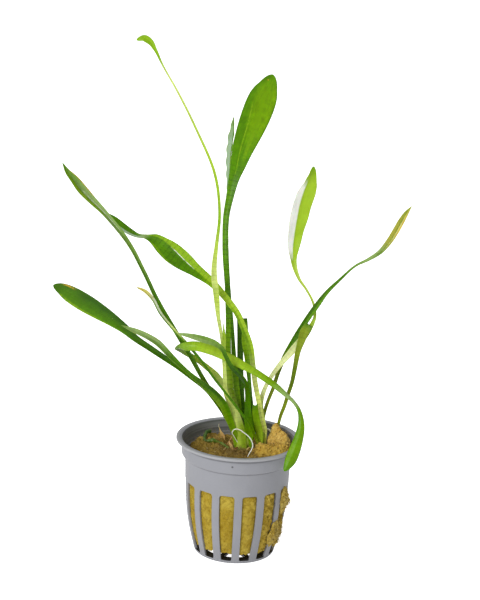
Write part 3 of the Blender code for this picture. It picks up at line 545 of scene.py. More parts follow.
def wool_shape():
    """A cylinder's profile turned round the pot's axis: bottom, side and top rows. The side stands
    a clearance inside the wall and swells in every slot. Three lengths of noise roughen it, more
    on the torn side, and the top is lumpy, with its humps and its shoulder. Also gives the grid."""
    angle = around(WOOL_COLUMNS)
    heights = np.linspace(WOOL_BOTTOM, WOOL_TOP, WOOL_SIDE_ROWS)
    edge = wall_radius(heights) - WOOL_CLEARANCE
    bottom = np.linspace(0.05, 1, WOOL_BOTTOM_ROWS, endpoint=False)
    top = np.linspace(1, 0.01, WOOL_TOP_ROWS + 1)[1:]
    radius = np.concatenate([bottom * edge[0], edge, top * edge[-1]])
    height = np.concatenate([0 * bottom + WOOL_BOTTOM, heights, 0 * top + WOOL_TOP])
    on_side = np.concatenate([0 * bottom, 0 * heights + 1, 0 * top])[:, None]
    on_top = np.concatenate([0 * bottom, 0 * heights, 0 * top + 1])[:, None]
    radius, height = radius[:, None] + 0 * angle, height[:, None] + 0 * angle
    turn = angle + 0 * radius
    base = from_axis(radius, turn, height)
    torn = torn_share(turn)
    opening = np.clip((nearest_rib(turn) * radius - HALF_RIB) / (2.2 * MM), 0, 1)
    beside = np.clip((height - SLOT_BOTTOM) / (2 * MM), 0, 1)
    beside = beside * np.clip((SLOT_TOP - height) / (1.2 * MM), 0, 1)
    swell = np.sqrt(opening) * beside * WOOL_SWELL * (0.75 + 0.55 * torn)
    coarse = waves(base, 11, 5 * MM)
    middle = waves(base, 12, 2.2 * MM)
    fine = waves(base, 13, 0.8 * MM)
    free = 0.25 + 0.75 * opening
    rough = (0.10 + 0.34 * torn) * middle + (0.05 + 0.12 * torn) * fine + 0.12 * coarse
    lifted = 0.35 * torn * np.maximum(waves(base, 14, 3.2 * MM), 0) * opening
    outward = on_side * (swell + (rough * free + lifted) * MM)
    ragged = np.clip(1 - (height - WOOL_BOTTOM) / (5 * MM), 0, 1) * (1 - on_top)
    hang = ragged * (0.45 * waves(base * (1, 1, 0), 15, 4 * MM)
                     + 0.25 * waves(base * (1, 1, 0), 16, 1.3 * MM)) * MM
    x, y = base[..., 0] / MM, base[..., 1] / MM
    lumps = 0.42 * coarse + 0.34 * middle + 0.17 * fine
    for hump_x, hump_y, rise, spread in WOOL_HUMPS:
        lumps = lumps + rise * np.exp(-((x - hump_x) ** 2 + (y - hump_y) ** 2) / spread)
    past = np.clip(radius / edge[-1] - SHOULDER_FROM, 0, SHOULDER_WIDTH)
    lumps = (lumps - SHOULDER_DROP * past / SHOULDER_WIDTH) * MM
    near_top = np.clip((height - WOOL_TOP + 3 * MM) / (3 * MM), 0, 1)
    lift = near_top * lumps + hang
    pull = -0.5 * MM * np.clip((height - WOOL_TOP + 2.5 * MM) / (2.5 * MM), 0, 1) * on_side
    grid = from_axis(radius + outward + pull, turn, height + lift)
    return grid, closed(grid, [[0, 0, WOOL_BOTTOM], [0, 0, grid[-1, :, 2].mean()]])


def new_group(name, inputs, outputs):
    """A shader node group with named sockets, the sockets of its inputs inside it, and the node
    that takes its results. Each input has a kind and a value."""
    group = bpy.data.node_groups.new(name, "ShaderNodeTree")
    for label, (kind, value) in inputs.items():
        socket = group.interface.new_socket(label, in_out="INPUT", socket_type="NodeSocket" + kind)
        if value is not None:
            socket.default_value = value
    for label, kind in outputs.items():
        group.interface.new_socket(label, in_out="OUTPUT", socket_type="NodeSocket" + kind)
    given = group.nodes.new("NodeGroupInput").outputs
    return group, [given[label] for label in inputs], group.nodes.new("NodeGroupOutput")


def felt_group():
    """Matted mineral fibre: two layers of noise drawn out into threads across each other, small
    pits painted dark as shade, and soft clouds of colour. It gives a colour and a height."""
    group, given, result = new_group(
        "felted_fibre",
        {"Place": ("Vector", None), "Light": ("Color", None), "Middle": ("Color", None),
         "Dark": ("Color", None), "Thread": ("Float", 1.0)},
        {"Color": "Color", "Height": "Float"},
    )
    place, light, middle, dark, thread = given
    layers = []
    for turn, stretch in (((0.3, 0.2, 0.5), (900, 900, 210)), ((0.9, -0.5, 2.1), (950, 260, 850))):
        drawn = node(group, "Mapping", {0: place, 2: turn, 3: stretch}).outputs[0]
        layers.append(noise(group, drawn, 1.0, 4.0, roughness=0.62, distortion=1.1))
    lifted = ranged(group, calc(group, "MAXIMUM", *layers), 0.5, 0.72)
    pits = noise(group, place, 620.0, 3.0, roughness=0.6)
    cloud = noise(group, place, 130.0, 3.0, distortion=0.4)
    colour = mix(group, ranged(group, cloud, 0.36, 0.64), middle, light)
    # Painted shade: the pits, which sink in the height, take the dark tone.
    pit_shade = calc(group, "MULTIPLY", ranged(group, pits, 0.52, 0.28), 0.8)
    colour = mix(group, pit_shade, colour, dark)
    colour = mix(group, calc(group, "MULTIPLY", lifted, thread), colour, light)
    raised = calc(group, "MULTIPLY_ADD", lifted, 0.6, pits)
    set_inputs(group, result, {"Color": colour, "Height": raised})
    return group


felted_fibre = felt_group()


def felt(tree, place, light, middle, dark, thread):
    """The felt's colour and height in a material, from three tones and its share of threads."""
    return node(tree, "Group", {
        "Place": place, "Light": tone(*light), "Middle": tone(*middle), "Dark": tone(*dark),
        "Thread": thread}, node_tree=felted_fibre).outputs


def dress_wool(made, colour, height, strength, distance):
    """A wool material with its colour and height, dull and almost without shine."""
    return dress(made, base_color=colour, roughness=0.95, specular_ior_level=0.05,
                 normal=bump(made.node_tree, height, strength, distance))


def plug_material():
    """Gold felt on the sides, lighter and rougher on the torn right, and browner on top."""
    made, tree = new_material("golden_rock_wool")
    place = own_place(tree)
    right, _, height = axes(tree, place)
    side = felt(tree, place, (184, 162, 66), (160, 134, 40), (126, 98, 18), 0.35)
    torn = felt(tree, place, (190, 166, 74), (140, 112, 26), (96, 72, 8), 0.7)
    stained = felt(tree, place, (178, 150, 72), (128, 102, 36), (70, 54, 12), 0.6)
    colour = mix(tree, ranged(tree, right, 0.003, 0.015), side["Color"], torn["Color"])
    colour = mix(tree, ranged(tree, height, 0.0435, 0.0462), colour, stained["Color"])
    return dress_wool(made, colour, torn["Height"], 0.8, 0.0002)


def strands(starts, headings, lengths, bends, widths, seed, steps=5):
    """Many fine fibres in one shape. Each is a three-sided tube along start + heading * t + bend *
    t squared, with t from 0 to its length; it thins towards both ends, which are closed."""
    chance = np.random.default_rng(seed)
    count = len(starts)
    headings = headings / np.linalg.norm(headings, axis=1, keepdims=True)
    t = np.linspace(0, 1, steps)[None, :, None]
    reach = lengths[:, None, None] * t
    path = starts[:, None] + headings[:, None] * reach + bends[:, None] * reach * t
    sideways = np.cross(headings, chance.normal(size=(count, 3)))
    sideways /= np.linalg.norm(sideways, axis=1, keepdims=True)
    other = np.cross(headings, sideways)
    corner = around(3)
    ring = sideways[:, None] * np.cos(corner)[None, :, None]
    ring = ring + other[:, None] * np.sin(corner)[None, :, None]
    taper = (1 - 0.75 * np.abs(2 * np.linspace(0, 1, steps) - 0.9) ** 2)[None, :, None, None]
    points = path[:, :, None] + ring[:, None] * widths[:, None, None, None] / 2 * taper
    index = np.arange(count * steps * 3).reshape(count, steps, 3)
    right = np.roll(index, -1, axis=2)
    quads = np.stack([index[:, :-1], right[:, :-1], right[:, 1:], index[:, 1:]], axis=-1)
    caps = np.vstack([index[:, 0, ::-1], index[:, -1]])
    return points.reshape(-1, 3), [quads.reshape(-1, 4), caps]


def fibre_material(name, pale, deep):
    """Loose mineral fibres: dry and pale, each patch of its own shade."""
    made, tree = new_material(name)
    patch = ranged(tree, noise(tree, own_place(tree), 700.0, 2.0), 0.38, 0.62)
    return dress(made, base_color=mix(tree, patch, tone(*deep), tone(*pale)), roughness=0.6,
                 specular_ior_level=0.2)


def surface_fibres(grid, rows, columns, count, seed, rise, length, width):
    """Strands that lie on a grid: random grid points are their starts, and each heading is a mix
    of the grid's two directions and a little of its outward normal. The next seed turns them."""
    chance = np.random.default_rng(seed)
    row = chance.integers(rows[0], rows[1], count)
    column = chance.choice(columns, count)
    start = grid[row, column]
    down = grid[np.minimum(row + 1, len(grid) - 1), column] - start
    across = grid[row, (column + 1) % grid.shape[1]] - start
    down /= np.linalg.norm(down, axis=1, keepdims=True) + 1e-12
    across /= np.linalg.norm(across, axis=1, keepdims=True) + 1e-12
    outward = np.cross(across, down)
    turn = chance.uniform(0, 2 * math.pi, (count, 1))
    flat = down * np.cos(turn) + across * np.sin(turn)
    lift = chance.uniform(*rise, (count, 1))
    heading = flat + outward * lift
    bend = -outward * lift * 0.9 + chance.normal(size=(count, 3)) * 0.22
    lengths = chance.uniform(*length, count) * MM
    return strands(start, heading, lengths, bend, chance.uniform(*width, count) * MM, seed + 1)


wool_grid, wool = wool_shape()
plug = make_piece("rock_wool", wool, plug_material())
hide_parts("rock_wool_plug")
top_fibres = surface_fibres(wool_grid, TOP_FIBRE_ROWS, np.arange(WOOL_COLUMNS), 5200, 21,
                            (0.03, 0.4), (1.2, 4.2), (0.045, 0.1))
make_piece("wool_top_fibres", top_fibres,
           fibre_material("browned_fibre", (196, 168, 104), (128, 98, 34)))
open_columns = np.flatnonzero(nearest_rib(around(WOOL_COLUMNS)) * SIDE_FIBRE_RADIUS > SIDE_FIBRE_GAP)
side_fibres = surface_fibres(wool_grid, SIDE_FIBRE_ROWS, open_columns, 3600, 23,
                             (0.02, 0.22), (0.8, 2.6), (0.035, 0.075))
make_piece("wool_side_fibres", side_fibres,
           fibre_material("golden_fibre", (200, 178, 86), (146, 118, 30)))

# Wool pulled out through the slots on the right. It laps over the lower end of one rib and
# stands out from the slot beside it as loose fluff.

# Angle from the front in degrees, height, half width, half height and thickness in millimetres.
PULLED_LUMPS = [
    ("wool_over_rib", 54.0, 13.4, 3.4, 6.4, 1.5, 31),
    ("wool_fluff_upper", 66.0, 28.2, 2.9, 6.4, 2.0, 32),
    ("wool_fluff_lower", 67.5, 11.6, 2.9, 7.4, 1.2, 33),
]
LUMP_ROWS = 30
LUMP_COLUMNS = 120


def lump_shape(degrees, height, half_width, half_height, thickness, seed):
    """A pad that lies on the wall: a disc in polar rings, its outline ragged with noise, domed by
    (1 - share squared) to a low power, and its back pressed into the slot. Also gives its front."""
    share = np.linspace(0.03, 1, LUMP_ROWS)[:, None]
    turn = around(LUMP_COLUMNS)
    outline = np.stack([np.cos(turn), np.sin(turn), 0 * turn], axis=-1)
    ragged = 1 + 0.10 * waves(outline, seed, 1.1) + 0.05 * waves(outline, seed + 50, 0.3)
    across = share * ragged * np.cos(turn) * half_width * MM
    up = share * ragged * np.sin(turn) * half_height * MM + height * MM
    base = wall_radius(np.clip(up, 0, SLOT_TOP))
    flat = np.stack([across, up, 0 * up + degrees * MM], axis=-1)
    lumps = 0.26 * waves(flat, seed + 1, 2.6 * MM) + 0.24 * waves(flat, seed + 2, 1.0 * MM)
    dome = (1 - share**2) ** 0.55
    front = base + dome * thickness * MM * (0.8 + lumps) + 0.05 * MM
    back = base - dome * 0.9 * MM + 0.02 * MM
    angle = math.radians(degrees) + across / base
    front, back = from_axis(front, angle, up), from_axis(back, angle, up)
    poles = np.stack([front[0].mean(axis=0), back[0].mean(axis=0)])
    return front, closed(np.vstack([front, back[-2::-1]]), poles)


def fluff_material():
    """Loose pale gold fluff: the felt with light threads over a golden brown."""
    made, tree = new_material("pale_fluff")
    fluff = felt(tree, own_place(tree), (204, 182, 96), (168, 140, 50), (116, 90, 22), 0.8)
    return dress_wool(made, fluff["Color"], fluff["Height"], 0.8, 0.0002)


pale_fluff = fluff_material()
pulled_fibre = fibre_material("pulled_fibre", (222, 204, 132), (164, 136, 50))
for name, degrees, height, half_width, half_height, thickness, seed in PULLED_LUMPS:
    front, lump = lump_shape(degrees, height, half_width, half_height, thickness, seed)
    make_piece(name, lump, pale_fluff)
    loose = surface_fibres(front, (2, LUMP_ROWS), np.arange(LUMP_COLUMNS), 700, seed + 3,
                           (0.05, 0.45), (0.8, 2.8), (0.04, 0.08))
    make_piece(name + "_fibres", loose, pulled_fibre)

# Loose wool tuft. A torn handful of the same wool, lighter and drier, pushed in behind and beside
# the right crown; its edges stand up in matted points.

TUFT_MIDDLE = (15.5, 3.0)
TUFT_OUTLINE = [
    (23.2, 1.5), (23.2, 5.1), (22.2, 8.7), (20.4, 11.6), (17.6, 14.2), (14.8, 14.4), (13.1, 12.2),
    (13.1, 9.2), (13.2, 6.6), (12.0, 5.0), (9.8, 4.0), (7.6, 3.0), (6.6, 0.8), (7.4, -2.0),
    (9.8, -4.0), (13.0, -5.2), (16.0, -5.2), (19.0, -4.2), (21.6, -1.8),
]
TUFT_FOOT = 46.2
TUFT_MOUND = 4.2
TUFT_COLUMNS = 260
# Places that stand higher or lower, as (x, y, rise, spread) in millimetres: broad ones first, then
# the torn points.
TUFT_PEAKS = [
    (16.9, 10.6, 5.8, 2.5), (21.3, 6.6, 4.8, 2.0), (10.6, 0.4, 0.2, 2.4), (15.8, 11.8, 2.9, 1.5),
    (13.6, 4.6, -1.8, 1.6), (14.5, -3.0, -0.6, 2.4), (14.5, 12.4, 2.4, 0.45), (22.4, 6.4, 1.6, 0.6),
    (20.0, 9.2, 1.2, 1.0), (19.4, 10.8, 2.2, 0.6), (9.0, 3.0, 1.2, 0.9), (21.4, 9.0, 1.6, 0.5),
    (17.8, 12.4, 1.4, 0.6),
]


def tuft_shape():
    """Polar rings that fill the outline about its middle. Height falls from the middle by (1 -
    share to the power 2.4) to the power 0.55, and peaks are added as bell curves. Then noise of
    three lengths creases the top and a fourth moves points sideways, and the ring at the foot
    closes underneath. Also gives the grid."""
    outline = np.array(TUFT_OUTLINE) - TUFT_MIDDLE
    bearing = np.arctan2(outline[:, 1], outline[:, 0]) % (2 * math.pi)
    reach = np.linalg.norm(outline, axis=1)
    order = np.argsort(bearing)
    turn = around(TUFT_COLUMNS)
    radius = np.interp(turn, bearing[order], reach[order], period=2 * math.pi)
    circle = np.stack([np.cos(turn), np.sin(turn), 0 * turn], axis=-1)
    radius = radius * (1 + 0.05 * waves(circle, 41, 0.9) + 0.05 * waves(circle, 42, 0.25))
    share = np.concatenate([np.linspace(0.01, 0.9, 80), np.linspace(0.91, 1, 16)])[:, None]
    x = TUFT_MIDDLE[0] + share * radius * np.cos(turn)
    y = TUFT_MIDDLE[1] + share * radius * np.sin(turn)
    height = TUFT_MOUND * (1 - share**2.4) ** 0.55
    for peak_x, peak_y, rise, spread in TUFT_PEAKS:
        bell = np.exp(-((x - peak_x) ** 2 + (y - peak_y) ** 2) / (2 * spread**2))
        height = height + rise * bell * (1 - share**12)
    grid = np.stack([x, y, TUFT_FOOT + height], axis=-1)
    crest = np.abs(waves(grid, 43, 3.4))
    creased = 0.42 * (0.75 - crest) + 0.15 * waves(grid, 44, 1.5) + 0.05 * waves(grid, 45, 0.65)
    loose = np.clip(height / 1.5, 0, 1)
    grid[..., 2] += creased * loose
    grid[..., 0] += 0.3 * waves(grid, 46, 1.6) * loose
    grid[..., 1] += 0.3 * waves(grid, 47, 1.6) * loose
    grid = grid * MM
    bottom = grid[-1] * (1, 1, 0) + np.array([0, 0, TUFT_FOOT * MM - 0.6 * MM])
    poles = [grid[0].mean(axis=0), [TUFT_MIDDLE[0] * MM, TUFT_MIDDLE[1] * MM, bottom[0, 2]]]
    return grid, closed(np.vstack([grid, bottom[None]]), poles)


def tuft_material():
    """Tan felt, warmer and lighter towards the back and darker at the foot."""
    made, tree = new_material("tan_tuft")
    place = own_place(tree)
    _, depth, height = axes(tree, place)
    front = felt(tree, place, (206, 174, 82), (190, 154, 58), (172, 134, 42), 0.25)
    behind = felt(tree, place, (224, 192, 110), (204, 166, 74), (190, 148, 58), 0.3)
    colour = mix(tree, ranged(tree, depth, 0.0, 0.006), front["Color"], behind["Color"])
    colour = mix(tree, ranged(tree, height, 0.0485, 0.0468, 0.0, 0.5), colour, tone(112, 84, 34))
    return dress_wool(made, colour, front["Height"], 0.4, 0.00018)


tuft_grid, tuft_wool = tuft_shape()
tuft = make_piece("wool_tuft", tuft_wool, tuft_material())
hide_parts("loose_wool_tuft")
tuft_fibres = surface_fibres(tuft_grid, (2, 95), np.arange(TUFT_COLUMNS), 1500, 48,
                             (0.03, 0.5), (0.8, 3.0), (0.03, 0.06))
make_piece("wool_tuft_fibres", tuft_fibres,
           fibre_material("tuft_fibre", (224, 194, 122), (174, 136, 54)))

# Crowns. The two short stems of clasped leaf bases, pale where the light hasn't reached, ribbed
# lengthwise by the sheaths that wrap one over the other, and stained brown where they enter the wool.

# Rings as (x, y, z, half width, half depth), in millimetres from the wool up.
CROWN_RINGS = {
    "crown_left": [
        (2.0, 6.5, 45.6, 2.3, 2.2), (1.9, 6.5, 47.0, 2.6, 2.4), (1.9, 6.5, 48.4, 3.1, 2.8),
        (1.5, 6.6, 50.4, 3.4, 2.9), (0.9, 6.7, 52.4, 3.4, 2.5), (0.5, 7.0, 54.4, 2.8, 1.8),
        (0.3, 7.2, 56.0, 1.6, 0.9),
    ],
    "crown_right": [
        (10.5, 9.6, 45.6, 1.9, 1.9), (10.5, 9.6, 46.9, 2.0, 2.1), (10.4, 9.4, 48.4, 2.2, 2.4),
        (10.2, 9.2, 50.8, 2.35, 2.7), (10.1, 9.3, 53.1, 2.2, 2.4), (10.1, 9.6, 55.2, 1.4, 1.3),
    ],
}
SHEATH_COUNT = {"crown_left": 9, "crown_right": 6}
CROWN_ROWS = 64
CROWN_COLUMNS = 150
# Stops up the crown, as a share of its height plus half of a noise from 0 to 1, and that sum's end.
SHEATH_TONES = [
    (0.2, (140, 130, 44)), (0.38, (168, 180, 62)), (0.55, (186, 202, 86)), (0.8, (174, 200, 66)),
    (1.1, (146, 184, 40)),
]
SHEATH_REACH = 1.3


def smooth_through(rows, count):
    """Cubic curve through the rows. Each row's slope is the mean of the slopes of the chords on
    either side, weighted towards the shorter chord, and the first three columns set the chords."""
    rows = np.array(rows, float)
    chord = np.linalg.norm(np.diff(rows[:, :3], axis=0), axis=1)
    along = np.concatenate([[0.0], np.cumsum(chord)])
    slopes = np.diff(rows, axis=0) / chord[:, None]
    share = (chord[:-1] / (chord[:-1] + chord[1:]))[:, None]
    inner = slopes[:-1] * (1 - share) + slopes[1:] * share
    tangents = np.vstack([slopes[:1], inner, slopes[-1:]])
    place = np.linspace(0, len(rows) - 1, count)
    k = np.minimum(place.astype(int), len(rows) - 2)
    t = (place - k)[:, None]
    step = (along[k + 1] - along[k])[:, None]
    start = (2 * t**3 - 3 * t**2 + 1) * rows[k] + (t**3 - 2 * t**2 + t) * step * tangents[k]
    end = (3 * t**2 - 2 * t**3) * rows[k + 1] + (t**3 - t**2) * step * tangents[k + 1]
    return start + end


def on_pattern(along, across, ends):
    """Each point's place on the pattern, and the places of the two poles."""
    return np.vstack([np.stack(np.broadcast_arrays(along, across), axis=-1).reshape(-1, 2), ends])


def crown_shape(rings, sheaths, seed):
    """Elliptical rings stacked along a smooth curve. Each sheath is a saw tooth round the ring,
    so that one laps over the next, and its lap creeps round as it rises."""
    rows = smooth_through(rings, CROWN_ROWS)
    turn = around(CROWN_COLUMNS)
    creep = np.linspace(0, 0.5, CROWN_ROWS)[:, None]
    tooth = ((turn * sheaths / (2 * math.pi) + creep + 0.15 * np.sin(3 * turn)) % 1) ** 1.5
    fine = 0.012 * np.sin(turn * 46 + 2 * creep)
    scale = 1 + 0.10 * (tooth - 0.45) + fine
    x = rows[:, :1] + rows[:, 3:4] * np.sin(turn) * scale
    y = rows[:, 1:2] - rows[:, 4:5] * np.cos(turn) * scale
    grid = np.stack([x, y, rows[:, 2:3] + 0 * turn], axis=-1) * MM
    grid = grid + 0.05 * MM * waves(grid, seed, 1.5 * MM)[..., None] * (1, 1, 0)
    poles = np.stack([grid[0].mean(axis=0), grid[-1].mean(axis=0)])
    place = on_pattern((rows[:, 2:3] - 46) / 8, turn / (2 * math.pi), [[0, 0], [1, 0]])
    return *closed(grid, poles), place


def colour_ramp(tree, share, stops):
    """The colour at a share, through stops of a place and a colour."""
    made = node(tree, "ValToRGB", {0: share})
    elements = made.color_ramp.elements
    elements.remove(elements[-1])
    elements[0].position, elements[0].color = stops[0]
    for place, colour in stops[1:]:
        elements.new(place).color = colour
    return made.outputs[0]


def sheath_material():
    """Fleshy leaf base: stained olive at the wool, then pale lime, then green, with fine
    lengthwise veins and a fleshy gloss."""
    made, tree = new_material("sheath_green")
    place = own_place(tree)
    drawn = node(tree, "Mapping", {0: place, 3: (1500, 1500, 110)}).outputs[0]
    vein = noise(tree, drawn, 1.0, 3.0)
    cloud = noise(tree, place, 260.0, 3.0)
    level = calc(tree, "MULTIPLY_ADD", cloud, 0.5, pattern(tree)[0])
    colour = colour_ramp(tree, calc(tree, "MULTIPLY", level, 1 / SHEATH_REACH),
                         [(share / SHEATH_REACH, tone(*steps)) for share, steps in SHEATH_TONES])
    line = ranged(tree, vein, 0.54, 0.7, 0.0, 0.55)
    return dress(made, base_color=mix(tree, line, colour, tone(112, 146, 22)), roughness=0.33,
                 subsurface_weight=0.12, subsurface_scale=0.001, normal=bump(tree, vein, 0.3, 0.0001))


sheath_green = sheath_material()
for seed, (name, rings) in enumerate(CROWN_RINGS.items(), 61):
    crown = make_piece(name.replace("crown", "clasped_crown"),
                       crown_shape(rings, SHEATH_COUNT[name], seed), sheath_green)
    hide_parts(name)

# Leaves. Each is one strap of soft green tissue that stands on a half-round stalk, thick and
# spongy below and flat at the blade. Their feet run down inside the crown. Every leaf keeps the
# route of its solid, and gets its own run of greens, veins, fold and damage.

STEPS_PER_STATION = 10
LEAF_COLUMNS = 28
# The direction that flat blades face: towards the camera and up.
FACING = np.array([0, -0.932, 0.362])
EVEN_HALVES = ((0, 1, 1), (1, 1, 1))
# A leaf's slow noise has this seed plus the number of leaves made before it.
LEAF_SEED = 239
# The greens of the plant.
LEAF_TONES = {
    "bottle": tone(48, 92, 0), "deep": tone(62, 106, 0), "forest": tone(72, 120, 0),
    "grass": tone(84, 136, 0), "moss": tone(98, 122, 4), "fresh": tone(110, 154, 0),
    "olive": tone(124, 142, 26), "spring": tone(132, 172, 22), "bright": tone(154, 188, 38),
    "lime": tone(170, 194, 72), "pale": tone(192, 208, 112), "cream": tone(214, 222, 154),
    # Painted light: of the next three tones, the first is a yellow paler than the tissue, for the light
    # that shines through pale stalks, the second is a painted highlight and the third a painted
    # reflection.
    "glow": tone(228, 241, 122), "painted_highlight": tone(228, 234, 216), "white": tone(250, 252, 244),
    # Painted sheen: the three grey-greens on the next line and the first tone on the line after it
    # stand for light reflected off the glossy leaves.
    "mist": tone(110, 146, 56), "haze": tone(138, 166, 94), "bloom": tone(150, 174, 140),
    "ash": tone(188, 198, 166), "straw": tone(166, 166, 62), "yellow": tone(206, 196, 92),
    "amber": tone(182, 152, 46), "rust": tone(204, 154, 40),
}


def unit(vectors):
    """Each row at length one."""
    return vectors / np.linalg.norm(vectors, axis=-1, keepdims=True)


def leaf_path(route, foot):
    """The leaf's stations, the foot's first, as a dense smooth path, and how far along the route
    each row lies, from 0 at its first station to 1 at its last."""
    rows = np.array(list(foot) + list(route), float)
    rows[:, :5] *= MM
    path = smooth_through(rows, STEPS_PER_STATION * (len(rows) - 1) + 1)
    step = np.linalg.norm(np.diff(path[:, :3], axis=0), axis=1)
    along = np.concatenate([[0.0], np.cumsum(step)])
    begin = along[STEPS_PER_STATION * len(foot)]
    return path, (along - begin) / (along[-1] - begin), along[-1] - begin


def evened(values, reach):
    """Values along a path, each the mean of its neighbours within the reach, weighted by a bell."""
    steps = np.arange(-3 * reach, 3 * reach + 1)
    bell = np.exp(-((steps / reach) ** 2) / 2)
    padded = np.pad(values, 3 * reach, mode="edge")
    return np.convolve(padded, bell / bell.sum(), mode="valid")


def leaf_shape(route, foot, seed, wave=0.0, wave_length=9.0, cut=0, tip=0.8, halves=EVEN_HALVES):
    """Sections set along the path. A section is a closed curve in s = -cos(phi), from one edge
    (-1) to the other (1): its middle line rises by fold * half width * (sqrt(s squared + 0.01) -
    0.4) plus half the thickness times s squared, and its two faces lie off that line by half the
    thickness times sin(phi) to the power 1.2. Edges ripple by sines along the leaf, and slow noise
    keeps the strap from being perfect. The width is evened out along the leaf. Past the last
    station but one it shrinks by (1 - t) to the power of the tip, so a low power gives a round tip
    and a power near one a sharp tip. A cut end stands higher at its edges by the cut, in
    millimetres, times s squared. The halves widen or narrow each side of the fold, from (share,
    left factor, right factor) rows. Also gives the leaf's length.
    """
    path, share, length = leaf_path(route, foot)
    last = len(path) - 1 - STEPS_PER_STATION
    path[:, 3] = evened(path[:, 3], 4)
    if not cut:
        t = np.linspace(0, 1, STEPS_PER_STATION + 1)
        path[last:, 3] = path[last, 3] * np.maximum(1 - t, 0.012) ** tip
    along = unit(np.gradient(path[:, :3], axis=0))
    side = unit(np.cross(along, FACING))
    face = np.cross(side, along)
    turn = np.radians(path[:, 5:6])
    across = side * np.cos(turn) + face * np.sin(turn)
    out = face * np.cos(turn) - side * np.sin(turn)
    phi = around(LEAF_COLUMNS)
    s, upper = -np.cos(phi), np.sin(phi)
    slow = waves(path[:, :3], seed, 16 * MM)[:, None]
    half = path[:, 3:4] / 2
    stops, left, right = np.array(halves).T
    sides = np.where(s < 0, np.interp(share, stops, left)[:, None],
                     np.interp(share, stops, right)[:, None])
    thickness = path[:, 4:5]
    fold = path[:, 6:7]
    travelled = share[:, None] * length
    ripple = wave * MM * np.sin(travelled / (wave_length * MM) * 2 * math.pi + 1.4 * np.sign(s))
    ripple = ripple * s**2 * np.clip(half / (1.5 * MM), 0, 1)
    rise = fold * half * (np.sqrt(s**2 + 0.01) - 0.4) + thickness / 2 * s**2 + ripple
    rise = rise + 0.10 * MM * slow * (1 + 0 * s)
    body = np.sign(upper) * thickness / 2 * np.abs(upper) ** 1.2
    body = body + 0.04 * MM * np.sign(np.round(upper, 6))
    grid = path[:, None, :3] + across[:, None] * (half * s * sides)[..., None]
    grid = grid + out[:, None] * (rise + body)[..., None]
    if cut:
        grid[-1] += along[-1] * cut * MM * (s**2)[:, None]
        end = grid[-1].mean(axis=0) - along[-1] * cut * MM * 0.5
        grid = np.concatenate([grid, (end + (grid[-1] - end) * 0.86)[None]])
        share = np.append(share, 1.0)
    else:
        end = grid[-1].mean(axis=0) + along[-1] * 0.05 * MM
    place = on_pattern(share[:, None], (s + 1) / 2, [[share[0], 0.5], [share[-1], 0.5]])
    return (*closed(grid, np.stack([grid[0].mean(axis=0), end])), place), length


def leaf_skin_group():
    """The living surface of a leaf. It takes a base colour and how far along in millimetres and
    across from 0 to 1 a point lies. Long veins, cross walls in the stalk, clouds of paler tissue
    and a margin change the colour, and the same patterns give a height."""
    group, given, result = new_group(
        "leaf_skin",
        {"Place": ("Vector", None), "Along": ("Float", 0.0), "Across": ("Float", 0.5),
         "Base": ("Color", None), "Vein": ("Float", 0.15), "Cross Wall": ("Float", 0.2),
         "Cloud": ("Float", 0.2), "Margin": ("Color", None), "Margin Share": ("Float", 0.0)},
        {"Color": "Color", "Height": "Float"},
    )
    place, along, across, base, veined, walled, clouded, margin, margin_share = given
    long, wide = calc(group, "MULTIPLY", along, 0.16), calc(group, "MULTIPLY", across, 15.0)
    flat = node(group, "CombineXYZ", {0: long, 1: wide}).outputs[0]
    vein = noise(group, flat, 1.0, 3.0, roughness=0.65)
    cloud = noise(group, place, 310.0, 4.0, roughness=0.6)
    fine = noise(group, place, 1400.0, 3.0)
    jogged = calc(group, "MULTIPLY_ADD", vein, 1.6, calc(group, "MULTIPLY_ADD", fine, 0.7, along))
    wall = ranged(group, calc(group, "PINGPONG", jogged, 1.1), 0.3, 0.06)
    depth = calc(group, "MULTIPLY", wall, walled)
    shade = calc(group, "MULTIPLY_ADD", ranged(group, vein, 0.3, 0.7, -1.0, 1.0), veined, 1.0)
    patch = ranged(group, cloud, 0.34, 0.66, -1.0, 1.0)
    shade = calc(group, "MULTIPLY_ADD", patch, clouded, shade)
    shade = calc(group, "SUBTRACT", shade, depth)
    shaded = node(group, "VectorMath", {0: base, "Scale": shade}, operation="SCALE").outputs[0]
    off = calc(group, "ABSOLUTE", calc(group, "SUBTRACT", across, 0.5))
    rim = calc(group, "MULTIPLY", ranged(group, off, 0.42, 0.485), margin_share)
    relief = calc(group, "SUBTRACT", calc(group, "MULTIPLY_ADD", fine, 0.35, vein), depth)
    set_inputs(group, result, {"Color": mix(group, rim, shaded, margin), "Height": relief})
    return group


def spot_group():
    """A spot round one place, for stains and painted highlights: its colour takes over within
    the radius, with an uneven edge.
    """
    group, given, result = new_group(
        "stain_and_highlight_spot",
        {"Place": ("Vector", None), "Color": ("Color", None), "Centre": ("Vector", None),
         "Radius": ("Float", 0.001), "Stain And Highlight": ("Color", None)},
        {"Color": "Color"},
    )
    place, colour, centre, radius, stain_and_highlight = given
    away = vector_calc(group, "DISTANCE", place, centre, "Value")
    ragged = calc(group, "MULTIPLY_ADD", noise(group, place, 900.0, 2.0), 0.0007, away)
    inside = ranged(group, calc(group, "DIVIDE", ragged, radius), 1.35, 0.75)
    set_inputs(group, result, {"Color": mix(group, inside, colour, stain_and_highlight)})
    return group


leaf_skin = leaf_skin_group()
stain_and_highlight_spot = spot_group()


def tone_ramp(tree, share, tones, side):
    """The greens along one side of the leaf, from stops of a share and one or two greens."""
    return colour_ramp(tree, share, [(stop[0], LEAF_TONES[stop[side]]) for stop in tones])


